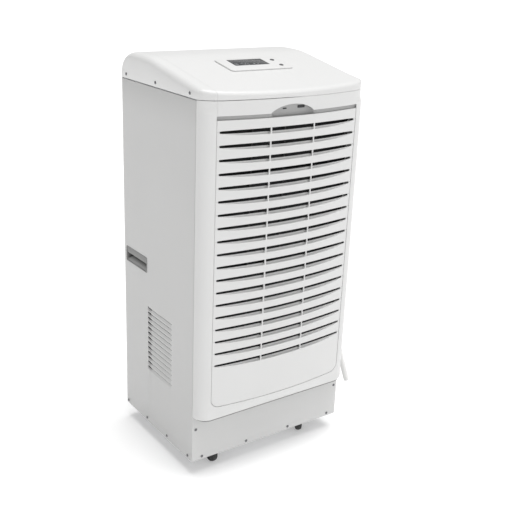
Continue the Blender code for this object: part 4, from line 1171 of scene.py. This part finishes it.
def build_display_print():
    """Numerals and plain symbols on the lens, kept to its front left."""
    outlines = digit_segments("50", (-0.030, -0.0065), 0.0170, 0.0090, 0.0016)
    outlines += [rounded((-0.0465, y), (0.0100, 0.0030), 0.0010, 4) for y in (0.0060, -0.0010)]
    outlines.append(water_drop((0.0105, 0.0020), 32))
    outlines += fan_petals((0.0230, 0.0025), 3, 20)
    for index in range(4):
        centre = (-0.020 + index * 0.0065, 0.0175)
        outlines.append(rounded(centre, (0.0045, 0.0016), 0.0006, 3))
    x, y = WINDOW_CENTRE
    parts = []
    for outline in outlines:
        placed = [(x + 0.92 * (a + 0.002), y + 0.84 * (b - 0.015)) for a, b in outline]
        parts.append(prism(placed, on_bezel, 0.00238, 0.00255))
    settle(add_mesh("display_print", *joined(*parts), PRINT))


def build_controls():
    """Bezel with its window and button openings, the lens, its print and the two buttons."""
    frame_levels = (
        (0.0005, 0.0), (0.0022, 0.0), (0.0029, -0.0003), (0.0033, -0.0008), (0.0035, -0.0016),
    )
    frame_rings = bezel_rings((0.0, 0.0), BEZEL_SIZE, 0.009, 10, frame_levels)
    bezel = add_mesh("control_frame", *loft(frame_rings), MOULDING)
    window_levels = ((-0.002, 0.0), (0.0029, 0.0), (0.0038, 0.0009))
    opening = bezel_rings(WINDOW_CENTRE, WINDOW_SIZE, 0.002, 6, window_levels)
    carve(bezel, add_mesh("window_cutter", *loft(opening), MOULDING))
    for y in BUTTON_YS:
        rings = [
            [on_bezel(a, b, t) for a, b in circle((BUTTON_X, y), BUTTON_RADIUS + growth, 36)]
            for t, growth in ((-0.002, 0.0004), (0.0031, 0.0004), (0.0037, 0.0010))
        ]
        carve(bezel, add_mesh("button_cutter", *loft(rings), MOULDING))
    repaint(bezel, MOULDING)
    settle(bezel, nodes=("control_bezel",))

    size = (WINDOW_SIZE[0] - 0.0008, WINDOW_SIZE[1] - 0.0008)
    lens_levels = ((-0.002, 0.0), (0.0021, 0.0), (0.0023, -0.0002), (0.0024, -0.0006))
    lens_rings = bezel_rings(WINDOW_CENTRE, size, 0.002, 6, lens_levels)
    window = add_mesh("display_lens_plate", *loft(lens_rings), LENS)
    settle(window, nodes=("display_window",))
    build_display_print()

    for name, y in zip(("upper_button", "lower_button"), BUTTON_YS):
        dome = [(0.0, 0.0044)]
        dome += [(r, 0.0044 + 0.0005 * (r / 0.0040) ** 2) for r in (0.0015, 0.0030)]
        dome += [(0.0040, 0.0049), (0.0046, 0.0048), (0.0051, 0.0045), (0.0054, 0.0040)]
        dome += [(BUTTON_RADIUS, 0.0034), (BUTTON_RADIUS, -0.0010), (0.002, -0.0010)]
        dome += [(0.002, -0.0090), (0.0, -0.0090)]
        place = BEZEL @ Matrix.Translation((BUTTON_X, y, 0.0))
        cap = add_mesh(name + "_cap", *turned(dome, 40, place), BUTTON)
        settle(cap, name, ("button_" + name.split("_")[0],))


build_lid()
build_controls()


# ---------------------------------------------------------------------------
# Sheet-metal casing
# ---------------------------------------------------------------------------
def bend_path(points, radius):
    """Polyline with rounded corners as (x, y, normal x, normal y), normals left of travel."""
    steps = 5
    path = []
    spots = [Vector(p) for p in points]
    for index, spot in enumerate(spots):
        if index in (0, len(spots) - 1):
            other = spots[1] if index == 0 else spots[-2]
            run = (other - spot) if index == 0 else (spot - other)
            run.normalize()
            path.append((spot.x, spot.y, -run.y, run.x))
            continue
        before = (spot - spots[index - 1]).normalized()
        after = (spots[index + 1] - spot).normalized()
        start = spot - before * radius
        centre_side = 1 if before.x * after.y - before.y * after.x > 0 else -1
        centre = start + Vector((-before.y, before.x)) * radius * centre_side
        arm = start - centre
        for turn in spaced(0.0, math.pi / 2 * centre_side, steps):
            spun = Vector(rotated(arm.x, arm.y, turn))
            normal = -spun.normalized() * centre_side
            place = centre + spun
            path.append((place.x, place.y, normal.x, normal.y))
    return path


def louvre_profile(y):
    """Opening height and inward dish of a louvre along its length, widest at the rear."""
    along = (y - LOUVRE_Y[0]) / (LOUVRE_Y[1] - LOUVRE_Y[0])
    if not 0.0 <= along <= 1.0:
        return 0.0, 0.0
    tip_start = 0.965
    swell = smooth_step((along - 0.80) / 0.13)
    tip = math.sqrt(max(0.0, 1 - max(0.0, (along - tip_start) / (1 - tip_start)) ** 2))
    start = math.sqrt(min(1.0, along / 0.012))
    dish = (0.0024 + 0.0010 * swell) * tip * smooth_step(along / 0.03)
    return (LOUVRE_SLIT + LOUVRE_SWELL * swell) * tip * start, dish


def side_path(sign):
    """Plan of a folded side sheet as (x, y, normal x, normal y), with points at its openings."""
    front = CABINET_FRONT + SHEET + GAP
    lip = HALF - 0.021
    bend = 0.0022
    corners = [(lip, front), (HALF, front), (HALF, CABINET_BACK), (lip, CABINET_BACK)]
    path = [(x, y, -nx, -ny) for x, y, nx, ny in bend_path(corners, bend)]
    start = next(i for i, spot in enumerate(path) if abs(spot[1] - (front + bend)) < 1e-6)
    stop = next(i for i, spot in enumerate(path) if abs(spot[1] - (CABINET_BACK - bend)) < 1e-6)
    ys = set(spaced(LOUVRE_Y[0], 0.010, 8)) | set(spaced(0.010, LOUVRE_Y[1], 22))
    ys |= {0.0750, 0.0760, 0.0766, -0.0515, -0.056, 0.0785, *HANDLE_Y, -0.10, -0.145, 0.14}
    if sign > 0:
        ys |= {DRAIN_Y - 0.009, DRAIN_Y + 0.009}
    flat = [(HALF, y, 1.0, 0.0) for y in sorted(ys)]
    return path[:start + 1] + flat + path[stop:]


def side_rows(sign, edge):
    """Rows up a side as functions of y that give (z, depth), the open rows, and the handle's."""
    def level(z):
        return lambda y: (z, 0.0)

    def strip_row(middle_z, part):
        """Row across the dished strip below a louvre's opening."""
        def row(y):
            opening, deep = louvre_profile(y)
            strip = LOUVRE_PITCH - opening - 0.0022
            dish = deep * (0.85 * part + 0.15 * smooth_step(part))
            return middle_z - opening / 2 - strip * (1 - part), dish
        return row

    def above_row(middle_z, rise):
        return lambda y: (middle_z + louvre_profile(y)[0] / 2 + rise, 0.0)

    rows = [level(CABINET_BOTTOM), level(CABINET_BOTTOM + edge)]
    if sign > 0:
        rows.append(level(0.12))
    louvre_rows = set()
    for n in range(LOUVRE_COUNT):
        middle_z = LOUVRE_LOW_Z + LOUVRE_HEIGHT / 2 - LOUVRE_DROP + n * LOUVRE_PITCH
        rows += [strip_row(middle_z, part) for part in LOUVRE_STRIP]
        louvre_rows.add(len(rows) - 1)
        rows += [above_row(middle_z, 2e-5), above_row(middle_z, 0.0009)]
    handle_row = len(rows)
    rows += [level(z) for z in (*HANDLE_Z, 0.60, 0.70, 0.80, 0.90, SIDE_TOP - edge, SIDE_TOP)]
    return rows, louvre_rows, handle_row


def build_side(sign):
    """Folded side sheet with its pressed louvres, hand opening and, on the right, the drain hole."""
    edge = 0.0004
    path = side_path(sign)
    rows, louvre_rows, handle_row = side_rows(sign, edge)

    def point(i, j, k):
        x, y, nx, ny = path[i]
        z, deep = rows[j](y)
        rim = edge * 0.6 if j in (0, len(rows) - 1) else 0.0
        offset = -deep - (SHEET - rim if k else rim)
        return (sign * (x + nx * offset), y + ny * offset, z)

    def filled(i, j, k):
        middle = (path[i][1] + path[i + 1][1]) / 2
        on_face = path[i][0] > HALF - 1e-6 and path[i + 1][0] > HALF - 1e-6
        in_louvre = j in louvre_rows and LOUVRE_Y[0] < middle < LOUVRE_Y[1]
        in_handle = j == handle_row and HANDLE_Y[0] < middle < HANDLE_Y[1]
        return not (on_face and (in_louvre or in_handle))

    name = "left_side" if sign < 0 else "right_side"
    shape = lattice((len(path) - 1, len(rows) - 1, 1), point, filled)
    sheet = add_mesh(name + "_sheet", *shape, SHADE_DARKENED_PAINT, 50.0)
    if sign > 0:
        bit = [(0, -0.01), (0.0090, -0.01), (0.0090, 0.01), (0, 0.01)]
        drill = turned(bit, 32, frame_along((HALF, DRAIN_Y, DRAIN_Z), (1, 0, 0)))
        carve(sheet, add_mesh("drain_drill", *drill, SHADE_DARKENED_PAINT))
        repaint(sheet, SHADE_DARKENED_PAINT)
    settle(sheet, nodes=(name + "_panel",))


def build_hand_hole(sign):
    """Moulded grip: a flap across the upper half and a rolled lip below it, before the pocket."""
    centre = ((HANDLE_Y[0] + HANDLE_Y[1]) / 2, (HANDLE_Z[0] + HANDLE_Z[1]) / 2)
    size = (HANDLE_Y[1] - HANDLE_Y[0], HANDLE_Z[1] - HANDLE_Z[0])
    face = HALF + GAP

    def ring(x, grow, radius):
        outline = rounded(centre, (size[0] + 2 * grow, size[1] + 2 * grow), radius, 8)
        return [Vector((sign * x, a, b)) for a, b in outline]

    deep = HALF - HANDLE_DEPTH
    pocket_rings = (
        (deep + 0.002, -0.0075, 0.004), (deep + 0.0022, -0.0062, 0.005),
        (deep + 0.0045, -0.0038, 0.006), (HALF - 0.012, -0.0030, 0.005),
        (HALF - 0.004, -0.0026, 0.005), (HALF - 0.0012, -0.0020, 0.005),
        (face + 0.0003, -0.0012, 0.005), (face + 0.0006, -0.0004, 0.005),
        (face + 0.0006, 0.0004, 0.005), (face + 0.0004, 0.0010, 0.005), (face, 0.0012, 0.005),
        (face, -0.0006, 0.005), (HALF - 0.012, -0.0012, 0.005),
        (deep + 0.003, -0.0018, 0.005), (deep, -0.0040, 0.005),
    )
    pocket = loft([ring(*size) for size in pocket_rings])
    near, far = HANDLE_Y[0] + 0.0022, HANDLE_Y[1] - 0.0022
    top = HANDLE_Z[1] - 0.0018
    fold = HANDLE_Z[0] + 0.0225
    flap = [(HALF - 0.0036, top), (HALF - 0.0006, top), (HALF - 0.0004, top - 0.002)]
    flap += [(HALF - 0.0006, fold + 0.005), (HALF - 0.0010, fold + 0.0025)]
    fold_radius = 0.0030
    for angle in (20, 45, 70, 90):
        turn = math.radians(angle)
        across = HALF - 0.0010 - fold_radius * (1 - math.cos(turn))
        flap.append((across, fold + 0.0025 - fold_radius * math.sin(turn)))
    flap += [(HALF - 0.0060, fold + 0.0012), (HALF - 0.0038, fold + 0.0034)]
    parts = [pocket, loft([[Vector((sign * x, y, z)) for x, z in flap] for y in (near, far)])]
    low = HANDLE_Z[0] + 0.0016
    lip_height, lip_width = 0.0155, 0.0135
    back = HALF - 0.0165
    ends = ((near, 1.0), (far - 0.022, 1.0), (far - 0.014, 0.88), (far - 0.006, 0.60), (far, 0.45))
    sections = []
    for y, share in ends:
        height = lip_height * share
        section = []
        for angle in range(0, 91, 10):
            turn = math.radians(angle)
            across = HALF - 0.0010 - lip_width * (1 - math.cos(turn))
            section.append((sign * across, y, low + height * math.sin(turn)))
        section += [(sign * back, y, low + height), (sign * back, y, low)]
        sections.append(section)
    parts.append(loft(sections))
    side = "left" if sign < 0 else "right"
    grip = add_mesh("hand_grip_" + side, *joined(*parts), GREY, 45.0)
    settle(grip, nodes=("handle_" + side,))


def build_skirt():
    low, high = CABINET_BOTTOM, COVER_BOTTOM + 0.030
    middle = (low + high) / 2
    half_height = (high - low) / 2
    outline = rounded((0.0, 0.0), (2 * HALF - 0.0006, high - low), 0.0035, 6)
    rings = []
    for depth, inset in ((0.0, 0.0008), (0.0001, 0.0004), (0.0004, 0.0), (SHEET, 0.0)):
        across = 1 - inset / HALF
        up = 1 - inset / half_height
        rings.append([(a * across, CABINET_FRONT + depth, middle + b * up) for a, b in outline])
    skirt = add_mesh("front_skirt_sheet", *loft(rings), SKIRT_PAINT)
    settle(skirt, nodes=("front_skirt",))


def build_rear():
    """Back sheet with a pressed stiffening panel, the outlet opening and the gland hole."""
    low, high = CABINET_BOTTOM, SEAM_Z - GAP
    y0 = CABINET_BACK + GAP
    outer_xs = [0.184, 0.186, 0.19, 0.2381, 0.2385]
    xs = [-x for x in reversed(outer_xs)] + spaced(-0.15, 0.15, 10) + outer_xs
    zs = [low, low + 0.0004, 0.16, 0.200, 0.204, 0.206, 0.30, 0.45, 0.60, 0.684, 0.686, 0.690, 0.72, 0.85]
    zs += [0.90, high - 0.0004, high]

    slope = 0.006
    panel_depth = 0.0014
    panel_half, panel_low, panel_high = 0.190, 0.200, 0.690

    def pressed(x, z):
        across = smooth_step((panel_half - abs(x)) / slope)
        up = smooth_step((z - panel_low) / slope) * smooth_step((panel_high - z) / slope)
        return panel_depth * across * up

    def point(i, j, k):
        x, z = xs[i], zs[j]
        rim = 0.0003 if (i in (0, len(xs) - 1) or j in (0, len(zs) - 1)) and k else 0.0
        return (x, y0 + SHEET * k - rim - pressed(x, z), z)

    shape = lattice((len(xs) - 1, len(zs) - 1, 1), point)
    sheet = add_mesh("rear_sheet", *shape, SHADE_DARKENED_PAINT)
    mid = (OUTLET_Z[0] + OUTLET_Z[1]) / 2
    opening = rounded((0, mid), (2 * OUTLET_X, OUTLET_Z[1] - OUTLET_Z[0]), 0.003, 4)
    for name, outline in (
        ("outlet_cut", opening),
        ("gland_cut", circle((GLAND_X, GLAND_Z), 0.0085, 32)),
    ):
        carve(sheet, add_mesh(name, *prism(outline, upright, 0.20, 0.22), SHADE_DARKENED_PAINT))
    repaint(sheet, SHADE_DARKENED_PAINT)
    settle(sheet, nodes=("rear_panel",))


def build_outlet():
    """Outlet frame with rounded corners and seven down-tilted blades."""
    mid = (OUTLET_Z[0] + OUTLET_Z[1]) / 2
    wide, tall = 2 * (OUTLET_X + 0.010), OUTLET_Z[1] - OUTLET_Z[0] + 0.020
    y0 = REAR_Y + GAP
    y1 = 0.215

    def ring(y, inset, radius):
        outline = rounded((0.0, mid), (wide - 2 * inset, tall - 2 * inset), radius, 8)
        return [Vector((a, y, b)) for a, b in outline]

    frame_rings = (
        (y0, 0.0, 0.006), (y0 + 0.0022, 0.0002, 0.006), (y0 + 0.0034, 0.0010, 0.006),
        (y1, 0.0024, 0.006), (y1, 0.0090, 0.004), (y1 - 0.0007, 0.0108, 0.003),
        (y0, 0.0130, 0.003), (0.2000, 0.0130, 0.003), (0.2000, 0.0115, 0.003),
        (y0, 0.0115, 0.003),
    )
    parts = [loft([ring(*size) for size in frame_rings], closed=True)]
    blades = 7
    blade_end = OUTLET_X - 0.0025
    half_chord, half_thick = 0.0058, 0.0009
    tilt = math.radians(-32)
    pitch = (OUTLET_Z[1] - OUTLET_Z[0] - 0.006) / blades
    for index in range(blades):
        z = OUTLET_Z[0] + 0.003 + pitch * (index + 0.5)
        section = []
        for angle in range(0, 360, 20):
            turn = math.radians(angle)
            a, b = rotated(half_chord * math.cos(turn), half_thick * math.sin(turn), tilt)
            section.append((0.2085 + a, z + b))
        parts.append(loft([[(x, a, b) for a, b in section] for x in (-blade_end, blade_end)]))
    for x in (-0.056, 0.0, 0.056):
        section = rounded((x, mid), (0.0024, OUTLET_Z[1] - OUTLET_Z[0] - 0.005), 0.0010, 3)
        parts.append(prism(section, upright, 0.2010, 0.2040))
    grille = add_mesh("outlet_frame", *joined(*parts), GREY)
    settle(grille, nodes=("outlet_grille",))


def build_gland():
    base = frame_along((GLAND_X, REAR_Y + GAP, GLAND_Z), (0, 1, 0))
    profile = [
        (0.0, -0.016), (0.0068, -0.016), (0.0075, -0.0152), (0.0075, 0.0), (0.0118, 0.0),
        (0.0125, 0.0006), (0.0125, 0.0022), (0.0119, 0.0030), (0.0098, 0.0038),
        (0.0088, 0.0040), (0.0060, 0.0036), (0.0050, 0.0020), (0.0, 0.0018),
    ]
    parts = [turned(profile, 40, base)]
    for centre in circle((0.0, 0.0), 0.0108, 12):
        rib = rounded(centre, (0.0016, 0.0016), 0.0005, 2)
        parts.append(prism(rib, placed_by(base), 0.0020, 0.0035))
    gland = add_mesh("mains_gland", *joined(*parts), BLACK_PAINT)
    settle(gland, nodes=("power_gland",))


def screw_shape(position, direction, radius, height):
    """Pan head, and a thin dark cross laid on it as painted shade for a cross recess, as joined parts."""
    base = frame_along(position, direction)
    profile = [(0.0, 0.0), (radius * 0.96, 0.0), (radius, height * 0.15)]
    for angle in (20, 40, 60, 78):
        turn = math.radians(angle)
        across = radius * (0.35 + 0.65 * math.cos(turn))
        profile.append((across, height * (0.15 + 0.85 * math.sin(turn))))
    profile += [(radius * 0.42, height), (0.0, height)]
    head = turned(profile, 28, base)
    cross = []
    for a, b in ((0.42, 0.09), (0.09, 0.42)):
        outline = rounded((0, 0), (2 * a * radius, 2 * b * radius), 0.04 * radius, 2)
        cross.append(prism(outline, placed_by(base), height, height + 0.00006))
    return head, cross


def screw_spots():
    """Position, direction and head size of every screw in the casing."""
    casing = (0.004, 0.0016)
    outlet = (0.0022, 0.0006)
    front, rear = (0, -1, 0), (0, 1, 0)
    spots = []
    for sign in (-1, 1):
        side = (sign, 0, 0)
        x = sign * HALF
        spots += [((x, y, 0.995), side, casing) for y in (-0.131, 0.030, 0.183)]
        spots += [((x, y, 0.0535), side, casing) for y in (-0.137, -0.027, 0.085, 0.199)]
        spots.append(((sign * 0.2295, CABINET_FRONT, 0.139), front, casing))
        spots += [((sign * px, CABINET_FRONT, 0.0535), front, casing) for px in (0.070, 0.210)]
        spots += [((sign * 0.2295, REAR_Y, z), rear, casing) for z in (0.10, 0.50, 0.93)]
        spots.append(((sign * 0.140, REAR_Y, 0.0535), rear, casing))
        spots += [((sign * (OUTLET_X + 0.0045), 0.215, z), rear, outlet) for z in (0.7385, 0.8325)]
    return spots


def build_screws():
    heads = []
    crosses = []
    for position, direction, size in screw_spots():
        head, cross = screw_shape(position, direction, *size)
        heads.append(head)
        crosses += cross
    settle(add_mesh("casing_screws", *joined(*heads), SCREW))
    # Painted shade: the dark crosses on the heads stand for the shade inside their cross recesses.
    settle(add_mesh("screw_recess_shade_crosses", *joined(*crosses), DARK))


build_side(-1)
build_side(1)
build_hand_hole(-1)
build_hand_hole(1)
build_skirt()
build_rear()
build_outlet()
build_gland()
build_screws()


# ---------------------------------------------------------------------------
# Casters
# ---------------------------------------------------------------------------
def hexagon(radius):
    return circle((0.0, 0.0), radius, 6)


def build_caster_plate(name, x, y):
    """Square top plate, rounded at its lower edge, and its four bolts."""
    rings = []
    for z, inset in (
        (PAN_FLOOR_Z - GAP, 0.0), (PLATE_LOW + 0.0006, 0.0),
        (PLATE_LOW + 0.0001, 0.0003), (PLATE_LOW, 0.0009),
    ):
        side = PLATE_SIDE - 2 * inset
        rings.append([(a, b, z) for a, b in rounded((x, y), (side, side), 0.006 - inset * 0.5, 6)])
    plate = add_mesh("caster_plate_" + name + "_pressed", *loft(rings), BLACK_PAINT)
    settle(plate, nodes=("caster_plate_" + name,))

    bolts = []
    washer = [(0, 0), (0.0048, 0), (0.0050, 0.0003), (0.0048, 0.0007), (0, 0.0007)]
    bolt_offsets = (-0.022, 0.022)
    for dx in bolt_offsets:
        for dy in bolt_offsets:
            base = frame_along((x + dx, y + dy, PLATE_LOW), (0, 0, -1))
            bolts.append(turned(washer, 24, base))
            for low, high, radius in ((0.0007, 0.0034, 0.0040), (0.0034, 0.0038, 0.0036)):
                bolts.append(prism(hexagon(radius), placed_by(base), low, high))
    settle(add_mesh("caster_bolts_" + name, *joined(*bolts), SCREW))


def build_caster_fork(name, pivot, spot):
    """Swivel bearing, bridge and two legs; spot() places a point ahead of the pivot."""
    crown_low = FORK_TOP - 0.0035
    crown = [
        (0.0, FORK_TOP), (0.0165, FORK_TOP), (0.0180, FORK_TOP - 0.0006), (0.0186, FORK_TOP - 0.0020),
        (0.0180, FORK_TOP - 0.0040), (0.0160, FORK_TOP - 0.0050), (0.0, FORK_TOP - 0.0050),
    ]
    bearing = turned(crown, 40, Matrix.Translation(pivot))
    deck = [(-0.017, -LEG_OUTER), (0.021, -LEG_OUTER), (0.021, LEG_OUTER), (-0.017, LEG_OUTER)]
    bridge = prism(deck, spot, crown_low, FORK_TOP - 0.0008)
    fork = add_mesh("caster_fork_" + name + "_pressed", *joined(bearing, bridge), BLACK_PAINT)
    trail = CASTER_TRAIL
    outline = [
        (-0.016, crown_low + 0.001), (0.019, crown_low + 0.001), (trail + 0.004, 0.046),
        (trail + 0.0078, 0.033), (trail + 0.0078, 0.026), (trail + 0.006, 0.0205),
        (trail + 0.002, 0.0180), (trail - 0.002, 0.0180), (trail - 0.006, 0.0205),
        (trail - 0.0095, 0.027), (trail - 0.015, 0.036), (-0.008, 0.050),
    ]
    for side in (-1, 1):
        leg = prism(outline, lambda a, b, t: spot(a, t, b), side * LEG_INNER, side * LEG_OUTER)
        carve(fork, add_mesh("leg", *leg, BLACK_PAINT), "UNION")
    repaint(fork, BLACK_PAINT)
    soften(fork, 0.0005)
    settle(fork, "caster_" + name, ("caster_fork_" + name,))


def build_caster_axle(name, axle_frame):
    """Bolt through the wheel, with its hexagon head at one end and a nut at the other."""
    tail = LEG_OUTER + GAP
    bolt = [
        prism(outline, placed_by(axle_frame), low, high)
        for outline, low, high in (
            (circle((0, 0), 0.0030, 24), -tail, tail + 0.0026),
            (hexagon(0.0055), -tail - 0.0026, -tail),
            (hexagon(0.0050), -tail - 0.0030, -tail - 0.0026),
            (hexagon(0.0055), tail, tail + 0.0024),
            (circle((0, 0), 0.0050, 24), tail + 0.0024, tail + 0.0028),
        )
    ]
    axle = add_mesh("caster_axle_" + name + "_bolt", *joined(*bolt), STEEL)
    settle(axle, "caster_" + name, ("caster_axle_" + name,))


def mirrored(profile):
    """A half profile followed by its own reflection, back to the other face of the wheel."""
    return profile + [(radius, -across) for radius, across in reversed(profile)]


def build_caster_wheel(name, axle_frame):
    face = -WHEEL_WIDTH / 2
    tread = mirrored([
        (0.0190, face + 0.0032), (0.0205, face + 0.0026), (0.0222, face + 0.0032),
        (0.0236, face + 0.0048), (0.0246, face + 0.0072), (WHEEL_RADIUS, face + 0.0098),
    ])
    tyre = add_mesh("caster_tyre_" + name, *ring_of_revolution(tread, 72, axle_frame), RUBBER)
    settle(tyre, "wheel_" + name, ("caster_wheel_" + name,))
    core = mirrored([
        (0.0033, face + 0.0003), (0.0080, face + 0.0003), (0.0088, face + 0.0010),
        (0.0098, face + 0.0046), (0.0150, face + 0.0058), (0.0172, face + 0.0052),
        (0.0186, face + 0.0030), (0.0191, face + 0.0036),
    ])
    centre = add_mesh("caster_hub_" + name, *ring_of_revolution(core, 60, axle_frame), DARK)
    settle(centre, "wheel_" + name)


def build_caster(name, x, y):
    turn = math.radians(CASTER_HEADINGS[name])
    heading = Vector((math.cos(turn), math.sin(turn), 0.0))
    across = Vector((-heading.y, heading.x, 0.0))
    pivot = Vector((x, y, 0.0))

    def spot(forward, sideways, height):
        return pivot + heading * forward + across * sideways + Vector((0, 0, height))

    axle_frame = frame_along(spot(CASTER_TRAIL, 0.0, WHEEL_RADIUS), across)
    build_caster_plate(name, x, y)
    build_caster_fork(name, pivot, spot)
    build_caster_axle(name, axle_frame)
    build_caster_wheel(name, axle_frame)


caster_spots = [(cx, cy) for cy in CASTER_YS for cx in (-CASTER_X, CASTER_X)]
for caster_name, (caster_x, caster_y) in zip(CASTER_HEADINGS, caster_spots):
    build_caster(caster_name, caster_x, caster_y)


# ---------------------------------------------------------------------------
# CAD nodes that keep their own mesh
# ---------------------------------------------------------------------------
KEPT = {
    GALVANISED: (
        "base_pan", "top_frame", "divider_shelf", "blower_housing", "motor_bracket", "electrical_box",
    ),
    MOULDING: ("filter_guide",),
    FILTER_FRAME: ("filter_frame",),
    NYLON: ("filter_mesh",),
    DARK: ("blower_wheel", "drip_tray"),
    STEEL: ("motor_shaft",),
    FINS: ("evaporator_coil", "condenser_coil", "run_capacitor"),
    COPPER: ("discharge_pipe", "suction_pipe", "liquid_pipe", "capillary_tube", "filter_drier"),
    BLACK_PAINT: ("compressor", "accumulator", "fan_motor"),
    RUBBER: ("compressor_mount",),
    BOARD: ("control_board",),
    HOSE: ("drain_tube",),
}
SOFTENED = {
    "base_pan": 0.0004, "top_frame": 0.0003, "divider_shelf": 0.0003, "electrical_box": 0.0005,
    "filter_frame": 0.0006, "motor_bracket": 0.0003, "drip_tray": 0.0005, "filter_guide": 0.0004,
}


def dress_kept_nodes():
    for material, names in KEPT.items():
        for name in names:
            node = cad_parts[name]
            repaint(node, material)
            shade_smooth(node.data)
            if name in SOFTENED:
                soften(node, SOFTENED[name])


dress_kept_nodes()


# ---------------------------------------------------------------------------
# Studio floor
# ---------------------------------------------------------------------------
def build_floor():
    glow = 0.32
    surface = Surface("floor_pale", (0.72, 0.72, 0.72), 0.6)
    surface.tint(surface.noise(0.8), (0.71, 0.71, 0.71), (0.73, 0.73, 0.73))
    surface.shader.inputs["Emission Color"].default_value = (1.0, 1.0, 1.0, 1.0)
    surface.shader.inputs["Emission Strength"].default_value = glow
    bm = bmesh.new()
    bmesh.ops.create_circle(bm, cap_ends=True, segments=96, radius=120.0)
    floor = add_bmesh("studio_floor", bm, surface.material)


build_floor()
